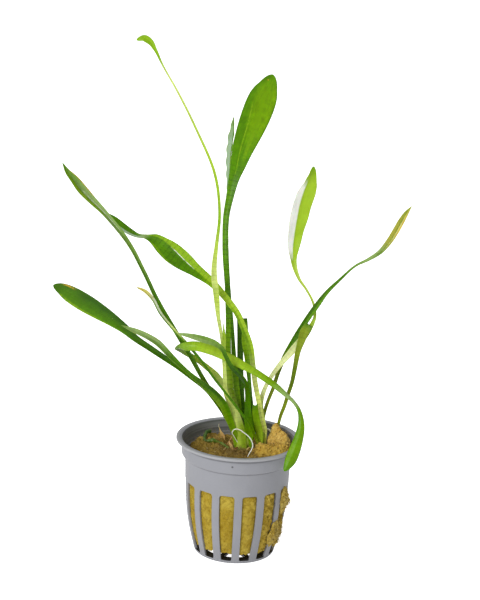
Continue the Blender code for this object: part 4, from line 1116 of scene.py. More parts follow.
def leaf_material(name, length, tones, spots=(), split=((0, 0.5),), soft=0.035, glints=(), vein=0.13,
                  cross_wall=0.3, blade=2.0, cloud=0.1, margin="forest", margin_share=0.0, gloss=0.36):
    """A leaf's own colour run. Each stop is a share along the leaf and one green, or two where
    its halves differ across the fold, which meet over the soft width. The split says where the
    fold lies across, from (share, place) rows. Glints are broken lines of another green, each
    from one share to another, with a place beside the fold and a half width across; some are
    painted highlights and painted sheen. Cross walls fade out where the blade begins. Spots are
    stains and flecks of painted highlight and painted sheen. The whole has a waxy gloss."""
    made, tree = new_material(name)
    place = own_place(tree)
    along, across = pattern(tree)
    drift = 2.2 * MM / length
    drift = ranged(tree, noise(tree, place, 190.0, 2.0), 0.0, 1.0, -drift, drift)
    share = calc(tree, "ADD", along, drift)
    fold = colour_ramp(tree, share, [(stop, (level, level, level, 1)) for stop, level in split])
    past = calc(tree, "SUBTRACT", across, fold)
    colour = tone_ramp(tree, share, tones, 1)
    if any(len(stop) > 2 for stop in tones):
        half = ranged(tree, past, -soft, soft)
        colour = mix(tree, half, colour, tone_ramp(tree, share, tones, -1))
    skin = node(tree, "Group", {
        "Place": place, "Along": calc(tree, "MULTIPLY", along, length / MM), "Across": across,
        "Base": colour, "Vein": vein, "Cloud": cloud,
        "Cross Wall": ranged(tree, share, blade - 0.04, blade + 0.04, cross_wall, 0.0),
        "Margin": LEAF_TONES[margin], "Margin Share": margin_share}, node_tree=leaf_skin).outputs
    colour = skin["Color"]
    broken = ranged(tree, noise(tree, place, 800.0, 2.0), 0.38, 0.52, 0.3, 1.0)
    for begin, end, middle, reach, green in glints:
        off = calc(tree, "ABSOLUTE", calc(tree, "SUBTRACT", past, middle))
        amount = ranged(tree, share, begin, begin + 0.02)
        fall = ranged(tree, share, end, end - 0.02)
        for part in (fall, broken, ranged(tree, off, reach, reach * 0.3)):
            amount = calc(tree, "MULTIPLY", amount, part)
        colour = mix(tree, amount, colour, LEAF_TONES[green])
    for centre, radius, stain_and_highlight in spots:
        colour = node(tree, "Group", {
            "Place": place, "Color": colour, "Centre": tuple(np.array(centre) * MM),
            "Radius": radius * MM, "Stain And Highlight": LEAF_TONES[stain_and_highlight]}, node_tree=stain_and_highlight_spot).outputs[0]
    return dress(made, base_color=colour, roughness=gloss, subsurface_weight=0.06,
                 subsurface_scale=0.0006, specular_ior_level=0.16,
                 normal=bump(tree, skin["Height"], 0.3, 0.00012))


def filled(route):
    """Stations of seven numbers each. One that is given fewer keeps the rest of the one before."""
    rows = []
    for station in route:
        rows.append((*station, *(rows[-1][len(station):] if rows else ())))
    return rows


def crown_foot(crown, route):
    """Two stations below the leaf's first, which lead its foot down into the crown and widen it
    there as a sheath."""
    x, y, _, width, thickness, turn, fold = route[0]
    rows = []
    for ring, pull, grow in ((1, 0.5, 1.25), (3, 0.3, 1.15)):
        middle = CROWN_RINGS[crown][ring]
        rows.append((x + (middle[0] - x) * pull, y + (middle[1] - y) * pull, middle[2],
                     width * grow, thickness * grow, turn, fold))
    return rows


leaves = []


def make_leaf(solid, route, tones, foot, shape=None, slot="leaf_green", **looks):
    """A leaf in place of its solid, on that solid's own stations: x, y, z, width and thickness in
    millimetres, turn in degrees and fold. Its foot is a crown's name or stations of its own. The
    shape is what leaf_shape is told besides, and the looks are what leaf_material is."""
    name = solid.removeprefix("leaf_") + "_leaf"
    route = filled(route)
    if isinstance(foot, str):
        foot = crown_foot(foot, route)
    leaf, length = leaf_shape(route, foot, LEAF_SEED + len(leaves), **(shape or {}))
    piece = make_piece(name, leaf, leaf_material(name, length, tones, **looks))
    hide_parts(solid)
    leaves.append(piece)


# Tall thin leaf. The tallest of the left rosette: a thin pale stalk with a bright swelling half
# way, which bends over to the left and ends in a small hooked tip. Flecks of painted highlight
# sit on the swelling.

make_leaf(
    "leaf_tall_thin",
    route=[
        (0.4, 6.0, 54.1, 2.5, 0.9, 15, 0.15), (-3.0, 5.4, 63.7, 2.5, 1.1),
        (-6.7, 4.6, 75.3, 1.9, 1.1, 20), (-8.1, 3.5, 88.3, 1.55), (-9.6, 2.1, 100.0, 1.45, 1),
        (-11.2, 0.8, 109.4, 1.9, 0.95, 35), (-12.7, -0.6, 119.5, 2.7, 0.9, 10, 0.2),
        (-14.2, -2.5, 131.5, 2.65), (-13.5, -5.1, 144.6, 1.65, 0.95, 20), (-12.8, -8.1, 159.6, 1.3),
        (-15.9, -12.1, 179.6, 1.25, 0.9), (-22.6, -15.7, 195.6, 1.05, 0.85),
        (-32.4, -19.6, 215.2, 0.9, 0.8), (-39.5, -21.8, 227.7, 0.8, 0.7),
        (-42.5, -22.7, 233.8, 1.55, 0.6, 20, 0.3), (-44.8, -23.2, 237.1, 2.7, 0.5, 10),
        (-47.3, -23.6, 238.5, 3.1), (-50.4, -23.6, 237.6, 0.25, 0.4, 10, 0.1),
    ],
    tones=[
        (0.0, "lime"), (0.05, "pale"), (0.27, "pale"), (0.33, "lime"), (0.38, "pale"),
        (0.45, "lime"), (0.52, "spring"), (0.64, "bright"), (0.76, "lime"), (0.88, "pale"),
        (0.93, "spring"),
    ],
    foot=[(1.5, 4.3, 45.6, 3.6, 0.9, 5, -0.3), (0.8, 4.5, 49.6, 3.6, 0.9, 10, -0.3)],
    spots=[
        ((-12.6, -1.2, 119.0), 0.35, "painted_highlight"), ((-11.6, -1.4, 117.4), 0.4, "painted_highlight"),
        ((-12.4, -1.3, 116.0), 0.35, "painted_highlight"),
    ],
    shape=dict(tip=0.45),
    slot="leaf_bright", blade=0.5, vein=0.1, cross_wall=0.22, gloss=0.33,
)

# Tall broad leaf. A thick flat stalk that stands straight up behind the others and opens into a
# broad spoon with a pale midrib, a darker margin and a speck of rust near its top.

make_leaf(
    "leaf_tall_broad",
    route=[
        (1.4, 8.1, 53.9, 2.8, 1, 5, 0.15), (-1.6, 8.2, 63.2, 3.15, 1.4),
        (-4.5, 8.4, 71.6, 3.25, 1.5), (-5.9, 8.4, 82.6, 2.75), (-6.6, 8.7, 92.8, 2.6),
        (-7.0, 9.2, 104.0, 2.4, 1.4, 8), (-8.0, 10.8, 119.2, 2.5, 1.3, 12),
        (-9.9, 14.7, 138.8, 2.75, 1.3, 15), (-10.0, 18.5, 151.5, 3.0, 1.2),
        (-9.0, 21.4, 158.5, 3.5, 1.1, 12), (-7.7, 24.3, 166.0, 4.85, 0.9, 10),
        (-6.0, 27.5, 172.4, 7.2, 0.7, 5), (-4.3, 31.1, 178.8, 9.6, 0.6, 0, 0.12),
        (-1.7, 34.7, 186.2, 12.1, 0.55, -5), (0.9, 38.3, 193.2, 13.45, 0.5, -10),
        (3.2, 41.2, 199.4, 13.15, 0.5, -12), (5.3, 43.0, 204.5, 10.05, 0.5, -15, 0.1),
        (7.4, 44.8, 209.8, 0.35, 0.4),
    ],
    tones=[
        (0.06, "pale"), (0.11, "lime", "bright"), (0.19, "spring"), (0.27, "fresh"),
        (0.33, "grass"), (0.5, "grass", "forest"), (0.66, "grass", "forest"), (0.76, "grass"),
        (0.86, "grass", "fresh"), (0.95, "grass", "fresh"), (1.0, "grass"),
    ],
    foot="crown_left",
    spots=[((5.4, 43.5, 207.6), 0.55, "rust")],
    glints=[(0.7, 0.92, 0.0, 0.03, "spring"), (0.74, 0.96, 0.3, 0.12, "fresh")],
    shape=dict(tip=0.5),
    split=((0, 0.62), (0.66, 0.6), (0.74, 0.42), (0.84, 0.36), (0.95, 0.2)), soft=0.12, blade=0.72,
    vein=0.16, cross_wall=0.4, cloud=0.14, margin_share=0.6,
)

# Narrow leaf with a painted grey sheen. It climbs behind the tall broad leaf on a dark stalk,
# and its small folded blade has a wavy left edge and a dull grey face of painted sheen.

make_leaf(
    "leaf_grey_narrow",
    route=[
        (0.6, 9.6, 53.8, 2, 0.9, 0, 0.15), (-1.0, 10.4, 67.4, 2.35, 1.2), (-2.1, 10.8, 73.1, 2.7),
        (-3.3, 11.2, 81.1, 2.85), (-4.0, 11.7, 88.0, 2.25), (-5.4, 14.0, 102.4, 1.35, 1.2, 5),
        (-7.9, 18.5, 120.1, 1.8, 1.1, 10), (-9.7, 27.7, 141.8, 1.7, 1, 20, 0.2),
        (-9.6, 35.4, 158.1, 1.9, 0.8, 45, 0.4), (-9.9, 40.1, 166.1, 2.7, 0.7, 50, 0.5),
        (-10.0, 44.1, 172.4, 3.4, 0.6), (-9.7, 47.3, 177.5, 3.8, 0.55),
        (-9.3, 50.2, 182.3, 3.4, 0.5), (-9.2, 53.8, 187.2, 0.4, 0.4, 50, 0.2),
    ],
    tones=[
        (0.0, "lime"), (0.08, "spring"), (0.17, "fresh"), (0.26, "grass"), (0.4, "forest"),
        (0.66, "forest"), (0.74, "bloom"), (0.84, "bloom", "mist"), (0.92, "bloom", "forest"),
        (1.0, "mist", "forest"),
    ],
    foot="crown_left",
    glints=[(0.05, 0.3, -0.64, 0.12, "lime")],
    shape=dict(wave=0.3, wave_length=6.0),
    split=((0, 0.72), (1, 0.62)), blade=0.6, vein=0.1, margin="spring", margin_share=0.7,
    gloss=0.42,
)

# Short young leaf. A pale pointed blade in front of the stalks, still half rolled in the sheath
# that it grew from. Its foot is the outermost pale wrap of the crown. Low down it is painted a
# yellow paler than the tissue, as painted light shining through it, and two flecks of painted
# highlight sit there.

make_leaf(
    "leaf_short_sheath",
    route=[
        (0.4, 4.0, 54.3, 5.3, 0.7, 0, -0.5), (-1.4, 4.0, 60.4, 4.75, 0.8, 0, -0.25),
        (-3.0, 3.9, 66.1, 3.75, 0.7, 20, 0.2), (-6.4, 3.1, 73.0, 2.4), (-7.4, 2.2, 82.3, 1.55),
        (-8.4, 1.2, 93.4, 1.95, 0.6), (-8.5, 0.3, 100.3, 1.85, 0.5),
        (-9.2, -0.6, 107.5, 0.3, 0.4, 20, 0.1),
    ],
    tones=[
        (0.0, "lime", "bright"), (0.06, "pale", "bright"), (0.14, "glow", "pale"),
        (0.24, "glow", "pale"), (0.37, "glow"), (0.54, "pale"), (0.75, "lime"), (0.9, "bright"),
        (1.0, "spring"),
    ],
    foot=[(1.4, 3.6, 45.4, 5.4, 0.8, 0, -0.5), (1.0, 3.7, 49.4, 5.2, 0.8, 0, -0.5)],
    spots=[((-0.2, 2.0, 58.6), 0.8, "cream"), ((0.4, 1.8, 60.2), 0.7, "painted_highlight")],
    split=((0, 0.5), (0.3, 0.42), (1, 0.5)), soft=0.3, slot="leaf_bright", vein=0.14,
    cross_wall=0.14, gloss=0.34,
)

# Far left leaf. A long dark stalk leans out to the left, and its narrow blade is folded like a
# gutter, dull and pale on the face with painted sheen, and with a rusty upper edge near the tip.

make_leaf(
    "leaf_far_left",
    route=[
        (-2.4, 7.0, 53.8, 1.7, 0.9, -20, 0.15), (-5.7, 6.8, 59.1, 1.9, 1.2),
        (-11.2, 5.8, 68.9, 2, 1.3), (-16.8, 4.2, 78.2, 2.1), (-24.7, 1.2, 92.7, 2.1),
        (-32.0, 0.1, 104.8, 2, 1.2), (-39.1, -1.0, 117.2, 1.95, 1.1), (-45.0, -3.4, 130.1, 1.9, 1),
        (-51.7, -6.4, 143.4, 2.1, 0.9, -20, 0.2), (-56.6, -8.5, 150.5, 2.5, 0.8, -20, 0.5),
        (-63.2, -11.0, 158.6, 2.9, 0.7, -25, 0.8), (-69.0, -12.8, 164.7, 4.2, 0.6, -25, 0.9),
        (-72.6, -14.2, 169.0, 4.8), (-75.4, -15.7, 173.2, 4.35, 0.55, -25, 0.8),
        (-78.6, -16.8, 177.5, 2.55, 0.5, -25, 0.6), (-80.6, -17.8, 181.8, 0.3, 0.4, -25, 0.2),
    ],
    tones=[
        (0.0, "lime"), (0.06, "fresh"), (0.28, "forest"), (0.5, "forest"), (0.6, "forest", "mist"),
        (0.7, "mist"), (0.77, "haze"), (0.82, "spring", "haze"), (0.88, "bright", "haze"),
        (0.94, "spring", "mist"), (1.0, "grass"),
    ],
    foot="crown_left",
    glints=[
        (0.7, 0.95, -0.02, 0.05, "grass"), (0.72, 0.9, 0.12, 0.06, "ash"),
        (0.85, 0.985, 0.46, 0.06, "amber"),
    ],
    blade=0.6, cross_wall=0.25, margin="spring", margin_share=0.5, gloss=0.38,
)

# Middle spoon leaf. Its stalk, painted paler at the foot as light shining through it, leans across
# the rosette and opens into a rolled blade with a light upper band and a painted highlight along
# the fold, then twists, grey with painted sheen, to a thin dark tip.

make_leaf(
    "leaf_spoon_middle",
    route=[
        (11.2, 8.3, 53.9, 2.4, 1.2, -10, 0.15), (9.5, 7.4, 61.6, 2.15, 1.4), (7.8, 6.8, 69.4, 2.25),
        (5.7, 6.2, 79.1, 2.4), (4.5, 5.8, 86.8, 2.35), (3.0, 5.2, 95.4, 2.6, 1.3),
        (0.1, 4.6, 103.0, 2.85, 1.3, -5, 0.2), (-3.5, 3.9, 111.0, 2.75, 1.1, 0),
        (-8.4, 3.4, 117.5, 2.9, 0.9), (-15.0, 3.3, 124.5, 3.6, 0.7),
        (-23.1, 3.1, 130.5, 6.1, 0.6, 5, 0.25), (-27.4, 3.3, 133.6, 8.2, 0.55, 10),
        (-32.3, 3.6, 137.0, 9.4, 0.5), (-36.6, 3.5, 140.2, 8.2), (-41.4, 3.1, 143.6, 5.1, 0.5, 15),
        (-45.1, 2.7, 144.7, 1.9, 0.5, 30, 0.3), (-48.1, 2.7, 144.8, 1.9, 0.5, 10, 0.2),
        (-51.7, 3.1, 146.1, 3.05, 0.5, -10), (-56.2, 3.4, 148.9, 3.6, 0.5, -15),
        (-59.5, 3.8, 151.7, 2.6, 0.45), (-62.1, 4.1, 154.0, 0.3, 0.4, -15, 0.1),
    ],
    tones=[
        (0.12, "glow"), (0.22, "pale"), (0.3, "spring", "bright"), (0.38, "fresh", "bright"),
        (0.46, "spring", "bright"), (0.53, "bright"), (0.58, "spring", "bright"),
        (0.62, "grass", "spring"), (0.7, "forest", "spring"), (0.75, "forest", "spring"),
        (0.79, "grass", "spring"), (0.835, "forest", "fresh"), (0.85, "haze"),
        (0.88, "bloom", "forest"), (0.95, "bloom", "forest"), (1.0, "deep"),
    ],
    foot="crown_right",
    glints=[(0.65, 0.76, -0.01, 0.028, "painted_highlight"), (0.6, 0.84, -0.66, 0.1, "fresh")],
    split=(
        (0.3, 0.5), (0.46, 0.4), (0.54, 0.2), (0.58, 0.36), (0.62, 0.45), (0.66, 0.52), (0.7, 0.58),
        (0.75, 0.68), (0.8, 0.78), (0.85, 0.72), (0.88, 0.4), (1, 0.2),
    ),
    blade=0.84, vein=0.12, cross_wall=0.26, gloss=0.3,
)

# Dark trimmed leaf. A stalk cut off level above the rosette when the plant was potted; it has
# gone a deep green. A streak of painted sheen runs up its stalk.

make_leaf(
    "leaf_cut_dark",
    route=[
        (2.2, 9.5, 56.1, 1.45, 0.9, 0, 0.15), (0.5, 11.6, 68.3, 2.45, 1.1),
        (-0.6, 12.0, 79.1, 2.85), (-1.3, 12.3, 90.9, 2.7), (-1.6, 12.7, 97.8, 2.8, 1),
        (-2.1, 13.2, 104.7, 2.5, 0.9),
    ],
    tones=[(0.0, "grass"), (0.25, "forest"), (0.5, "deep"), (0.97, "deep"), (1.0, "bottle")],
    foot="crown_left",
    glints=[(0.15, 0.55, -0.36, 0.09, "haze")],
    shape=dict(cut=0.2),
    gloss=0.34,
)

# Square-cut leaf. The trimmed stalk beside it, cut straight across near the same height.

make_leaf(
    "leaf_cut_square",
    route=[
        (5.8, 6.9, 54.0, 3.35, 0.9, 0, 0.15), (4.7, 7.4, 67.1, 2.05, 1), (4.0, 8.0, 73.6, 1.6),
        (3.0, 8.6, 81.0, 1.9), (1.9, 9.1, 89.3, 2.7), (0.6, 9.5, 96.7, 3.05, 0.9),
        (0.5, 9.6, 102.3, 2.5, 0.8), (0.1, 9.8, 106.6, 2.25),
    ],
    tones=[
        (0.0, "grass"), (0.22, "forest"), (0.5, "forest"), (0.62, "fresh"), (0.8, "spring"),
        (0.92, "fresh"), (0.97, "forest"), (1.0, "deep"),
    ],
    foot="crown_left",
    shape=dict(cut=0.2),
    cross_wall=0.34, gloss=0.34,
)

# Folded low leaf. It rises at the front, folds over sharply, and its short blade, grey-green with
# painted sheen, points left.

make_leaf(
    "leaf_folded_left",
    route=[
        (4.6, 5.2, 54.0, 4.65, 1, 0, 0.15), (3.7, 5.0, 61.7, 3.5), (3.3, 4.6, 67.6, 2.85, 1.1),
        (2.9, 3.0, 73.7, 2.25, 1.2), (1.5, -1.4, 80.5, 2.25), (-1.5, -6.2, 86.0, 2.1, 1.1),
        (-4.9, -9.1, 90.5, 1.95, 1), (-7.5, -10.7, 95.7, 1.85, 0.8, 0, 0.2),
        (-9.0, -11.9, 99.1, 1.9, 0.6, 0, 0.3), (-12.2, -12.6, 101.9, 2.55, 0.55),
        (-15.8, -13.0, 103.3, 3.0, 0.5), (-19.5, -13.5, 104.4, 2.85),
        (-23.9, -14.0, 105.5, 2.1, 0.45), (-28.8, -14.4, 106.4, 0.25, 0.4, 0, 0.1),
    ],
    tones=[
        (0.0, "fresh"), (0.12, "grass"), (0.24, "forest"), (0.36, "deep"), (0.5, "bottle"),
        (0.62, "deep"), (0.7, "forest"), (0.75, "mist"), (0.86, "haze", "mist"), (0.95, "haze"),
    ],
    foot="crown_left",
    glints=[(0.34, 0.66, 0.3, 0.1, "forest")],
    shape=dict(tip=0.5),
    cross_wall=0.15, cloud=0.06,
)

# Long looped leaf. It leaves the crown to the left, folds back on itself in a sharp corner, crosses
# the front of the rosette and hangs down over the rim on the right. Painted grey sheen lies on it at
# the corner and further along, and flecks of painted sheen sit at the corner.

make_leaf(
    "leaf_long_loop",
    route=[
        (-1.7, 8.5, 53.8, 1.7, 0.9, 0, 0.15), (-4.6, 9.8, 63.9, 2, 1.1), (-7.3, 10.0, 72.9, 2.35),
        (-11.1, 9.6, 78.8, 2.85, 1), (-15.7, 8.8, 83.0, 2.6, 0.9), (-19.8, 7.4, 86.6, 2.25, 0.7),
        (-23.7, 5.5, 89.6, 2.4, 0.6), (-27.0, 2.6, 92.4, 2.15, 0.5, 25, 0.1),
        (-29.5, -1.4, 94.7, 0.9, 0.5, 90), (-26.8, -5.4, 97.1, 3.85, 0.5, 168, 0.15),
        (-20.8, -7.7, 98.6, 4.3, 0.5, 180), (-14.6, -7.5, 97.2, 4.4, 0.5, 180, 0.2),
        (-8.5, -6.9, 94.6, 4.0), (-3.8, -6.4, 92.3, 4.0), (0.3, -6.1, 90.1, 3.7),
        (5.3, -6.1, 87.6, 3.1), (9.8, -6.3, 84.9, 2.95), (15.2, -7.0, 81.5, 2.75),
        (19.7, -8.0, 78.1, 2.05), (23.2, -9.0, 75.4, 1.6), (25.7, -10.0, 72.3, 1.6),
        (27.0, -11.4, 68.2, 2.45), (27.1, -13.0, 64.5, 3.45, 0.5, 180, 0.25),
        (26.5, -14.8, 61.1, 4.15), (25.4, -16.8, 57.4, 4.95), (24.0, -18.6, 53.6, 5.35),
        (22.6, -20.2, 50.5, 4.85), (20.7, -21.4, 47.1, 0.35, 0.4, 180, 0.1),
    ],
    tones=[
        (0.0, "lime"), (0.14, "pale"), (0.22, "lime"), (0.28, "bright"), (0.34, "haze"),
        (0.38, "mist"), (0.43, "spring"), (0.47, "bright"), (0.57, "bright"), (0.64, "spring"),
        (0.7, "fresh"), (0.75, "haze"), (0.79, "haze"), (0.81, "grass", "fresh"),
        (0.87, "grass", "fresh"), (0.94, "fresh"), (1.0, "grass"),
    ],
    foot="crown_left",
    spots=[
        ((-13.6, -7.9, 97.4), 0.35, "ash"), ((-12.4, -7.8, 96.4), 0.3, "ash"),
        ((-14.6, -7.9, 96.4), 0.3, "ash"),
    ],
    glints=[(0.82, 0.99, 0.04, 0.03, "grass")],
    shape=dict(tip=0.5),
    soft=0.4, vein=0.12, cross_wall=0.13, cloud=0.08, margin_share=0.35, gloss=0.32,
)

# Thin leaf with a yellow tip. It starts low between the crowns, crosses the left one and runs out
# straight to the left, fading to a grey of painted sheen and then to yellow.

make_leaf(
    "leaf_thin_yellow_tip",
    route=[
        (8.8, 5.6, 48.7, 1.25, 0.9, 0, 0.15), (7.5, 5.2, 51.9, 1.25), (4.7, 2.4, 59.1, 1.2),
        (2.0, 1.0, 63.0, 1.2), (-4.9, -0.8, 72.5, 1.15), (-11.6, -1.6, 81.0, 1.15),
        (-18.4, -2.4, 90.3, 1.15), (-25.3, -3.4, 98.4, 1.45), (-30.7, -4.7, 104.6, 1.35, 0.8),
        (-36.7, -7.7, 112.8, 1.35, 0.7, 0, 0.2), (-40.8, -12.2, 121.6, 1.55, 0.6),
        (-43.7, -14.5, 125.1, 1.7, 0.5), (-47.3, -16.4, 127.3, 0.25, 0.4, 0, 0.1),
    ],
    tones=[
        (0.0, "olive"), (0.08, "fresh"), (0.16, "grass"), (0.29, "grass"), (0.42, "forest"),
        (0.6, "forest", "grass"), (0.7, "grass", "pale"), (0.8, "grass", "ash"),
        (0.88, "haze", "ash"), (0.94, "yellow"),
    ],
    foot=[(10.6, 5.9, 45.4, 1.6, 1.0, 0, 0.15)],
    glints=[(0.02, 0.55, 0.2, 0.1, "bottle")],
    shape=dict(tip=0.45),
    split=((0, 0.4), (1, 0.4)), vein=0.12, cross_wall=0.2, gloss=0.38,
)

# Low broad leaf. The widest low blade, at the far left: dark green with a lighter lower margin,
# a yellowed upper edge near its tip and a few flecks of painted sheen.

make_leaf(
    "leaf_low_broad",
    route=[
        (-3.0, 5.3, 53.9, 1.5, 0.9, 0, 0.15), (-4.9, 4.8, 58.9, 1.8, 1.1), (-10.2, 3.4, 67.9, 2.0),
        (-15.6, 1.4, 75.3, 2.05), (-23.0, -1.2, 82.1, 2.25), (-28.4, -3.4, 87.0, 2.45),
        (-33.8, -5.4, 91.2, 2.5), (-40.9, -8.6, 97.0, 2.8, 0.9, 0, 0.2),
        (-47.8, -12.0, 102.8, 3.1, 0.8), (-51.9, -14.1, 107.2, 4.1, 0.7, 5),
        (-57.1, -16.5, 111.8, 5.55, 0.55, 10), (-63.2, -19.7, 116.8, 7.35, 0.5, 15),
        (-69.4, -23.2, 121.7, 8.25), (-74.4, -26.3, 125.8, 7.65), (-78.6, -28.5, 129.0, 5.75),
        (-82.2, -30.1, 130.9, 0.35, 0.4, 15, 0.1),
    ],
    tones=[
        (0.0, "olive"), (0.05, "moss"), (0.2, "grass"), (0.3, "forest"), (0.37, "forest"),
        (0.44, "deep", "bottle"), (0.55, "deep"), (0.6, "forest", "bottle"),
        (0.66, "grass", "bottle"), (0.85, "grass", "bottle"), (0.93, "grass", "deep"),
        (1.0, "deep"),
    ],
    foot="crown_left",
    spots=[
        ((-66.0, -21.6, 118.2), 0.35, "mist"), ((-64.2, -20.6, 116.4), 0.3, "haze"),
        ((-57.2, -17.0, 112.6), 0.45, "haze"),
    ],
    glints=[(0.91, 0.98, 0.42, 0.1, "amber"), (0.62, 0.97, -0.42, 0.1, "spring")],
    shape=dict(tip=0.5),
    split=((0, 0.4), (0.6, 0.4), (1, 0.5)), soft=0.34, vein=0.1, cross_wall=0.2, blade=0.5,
    margin_share=0.5, gloss=0.33,
)

# Low narrow leaf. A broad flat stalk that narrows to a thread, then a short blade folded along its
# middle with pale edges and a grey painted sheen. Its foot wraps the left side of the crown.

make_leaf(
    "leaf_low_narrow",
    route=[
        (-1.9, 4.0, 53.9, 2.2, 0.9, 0, 0.15), (-4.5, 3.0, 60.7, 3.5, 1.1),
        (-7.7, 1.0, 68.6, 3.75, 1.3), (-13.4, -1.2, 75.6, 3.55), (-18.4, -3.0, 80.3, 2.35, 1.1),
        (-23.0, -4.5, 84.4, 1.7, 1), (-28.9, -7.0, 90.6, 2.05, 0.9, 0, 0.25),
        (-32.9, -9.4, 95.4, 2.6, 0.8, 0, 0.4), (-37.6, -12.5, 101.1, 2.9, 0.7, 0, 0.5),
        (-41.1, -14.6, 104.0, 2.75, 0.6), (-44.8, -16.4, 106.4, 2.5, 0.55),
        (-48.7, -17.9, 108.4, 2.1, 0.5, 0, 0.4), (-53.3, -19.6, 110.7, 0.25, 0.4, 0, 0.1),
    ],
    tones=[
        (0.0, "spring"), (0.06, "fresh"), (0.14, "fresh", "grass"), (0.24, "fresh", "deep"),
        (0.31, "grass", "bottle"), (0.4, "deep"), (0.48, "forest"), (0.62, "forest"), (0.7, "mist"),
        (0.76, "mist", "haze"), (0.88, "haze"), (0.93, "haze"), (1.0, "mist"),
    ],
    foot=[(0.2, 4.6, 45.6, 3.4, 1.0, -10, -0.4), (-0.8, 4.3, 49.6, 3.4, 1.1, -5, -0.3)],
    soft=0.12, blade=0.5, cross_wall=0.26, cloud=0.12, margin="lime", margin_share=0.5,
)

# Bright spoon leaf. The palest one, on the right: a stalk that kinks twice, thin as a thread at the
# second kink, and a thin folded spoon that the light shines through. Its left half is painted white
# as a painted reflection, a painted highlight runs along the fold, and its foot is painted paler as
# light shining through it.

make_leaf(
    "leaf_bright_spoon",
    route=[
        (11.1, 9.9, 53.8, 2.25, 1, 10, 0.15), (10.3, 9.6, 59.9, 2.25, 1.1), (9.3, 9.2, 66.8, 2.15),
        (10.6, 8.8, 74.1, 2.0), (13.2, 8.4, 80.1, 1.9, 1), (16.8, 8.2, 86.2, 2.25, 0.9, 0),
        (20.2, 8.3, 90.7, 2.85, 0.8), (23.1, 8.5, 94.6, 3.2), (26.4, 9.2, 99.0, 3.1, 0.9),
        (29.3, 10.3, 103.5, 2.25), (31.2, 11.7, 108.3, 1.35, 1), (30.3, 13.1, 113.8, 1.1),
        (26.9, 15.1, 119.6, 1.05), (23.4, 17.0, 123.9, 1.4), (21.4, 18.8, 128.2, 2.15, 0.9, 0, 0.2),
        (20.4, 20.5, 131.8, 2.95, 0.8, -10, 0.35), (20.1, 21.5, 135.5, 4.7, 0.6, -15, 0.4),
        (20.5, 23.0, 141.0, 6.2, 0.55, -20), (21.5, 24.3, 148.5, 7.7, 0.5),
        (22.6, 25.0, 155.3, 8.4), (24.3, 25.7, 161.7, 8.0),
        (25.7, 26.1, 166.2, 6.2, 0.5, -20, 0.35), (26.8, 26.4, 169.8, 3.8, 0.5, -20, 0.3),
        (27.3, 26.8, 173.4, 0.3, 0.4, -20, 0.1),
    ],
    tones=[
        (0.0, "pale"), (0.05, "glow"), (0.16, "cream"), (0.34, "cream"), (0.385, "fresh"),
        (0.43, "bright"), (0.47, "lime"), (0.61, "lime"), (0.67, "bright"),
        (0.7, "white", "bright"), (0.92, "white", "bright"), (0.95, "bright"), (1.0, "fresh"),
    ],
    foot="crown_right",
    spots=[((19.0, 22.6, 143.6), 0.35, "rust")],
    glints=[(0.76, 0.84, -0.03, 0.025, "white")],
    shape=dict(
        tip=0.5, wave=0.25, wave_length=12.0,
        halves=((0, 1, 1), (0.68, 1, 1), (0.75, 1.2, 1), (0.9, 1.0, 1.1), (0.94, 0.8, 1.2), (1, 1, 1)),
    ),
    slot="leaf_bright", split=((0, 0.5), (0.7, 0.46), (0.85, 0.42), (0.94, 0.36), (1, 0.1)),
    blade=0.6, vein=0.06, cross_wall=0.12, cloud=0.05, margin="lime", margin_share=0.25, gloss=0.34,
)

# Far right leaf. A stout dark stalk that leans out to the right, with a narrow gutter of a blade
# that is grey with painted sheen and then olive and straw at its tip.

make_leaf(
    "leaf_right_dark",
    route=[
        (10.3, 11.2, 53.9, 1.6, 0.9, 0, 0.15), (11.1, 11.4, 62.6, 1.6, 1.1),
        (12.5, 11.8, 67.9, 1.6, 1.2), (14.4, 12.0, 73.7, 1.65), (16.3, 12.0, 81.4, 1.9),
        (18.5, 12.2, 88.1, 2.25, 1.1), (21.3, 12.0, 94.3, 2.5), (26.5, 10.7, 105.0, 2.5, 1),
        (32.0, 9.0, 115.0, 2.6), (35.0, 7.0, 120.5, 2), (41.1, 2.1, 129.4, 1.3, 0.9),
        (47.6, -3.3, 137.9, 0.95, 0.8, 0, 0.2), (52.3, -7.0, 141.8, 1.45, 0.7, 10, 0.5),
        (57.3, -11.2, 146.9, 2.2, 0.6, 15, 0.7), (60.5, -14.6, 152.5, 2.75, 0.55, 15, 0.8),
        (62.9, -17.8, 158.3, 3.0, 0.5), (64.9, -20.7, 163.8, 3.0, 0.5, 15, 0.7),
        (66.8, -23.2, 168.6, 2.05, 0.5, 15, 0.5), (68.5, -25.4, 172.2, 0.3, 0.4, 15, 0.1),
    ],
    tones=[
        (0.0, "bright"), (0.06, "olive"), (0.15, "olive"), (0.22, "moss"), (0.3, "forest"),
        (0.42, "deep", "grass"), (0.5, "deep", "grass"), (0.54, "forest"), (0.62, "forest"),
        (0.68, "mist"), (0.73, "haze"), (0.78, "haze", "mist"), (0.84, "straw"),
        (0.9, "straw", "yellow"), (1.0, "olive", "straw"),
    ],
    foot="crown_right",
    glints=[
        (0.74, 0.98, -0.03, 0.09, "moss"), (0.78, 0.95, 0.16, 0.05, "ash"),
        (0.86, 0.97, 0.3, 0.08, "rust"),
    ],
    split=((0, 0.55), (1, 0.5)), blade=0.6, cross_wall=0.28, margin="olive", margin_share=0.3,
    gloss=0.38,
)

# Trimmed leaf in the tuft. A thin olive stalk that comes up through the loose wool and widens to a
# bright green end, cut square.

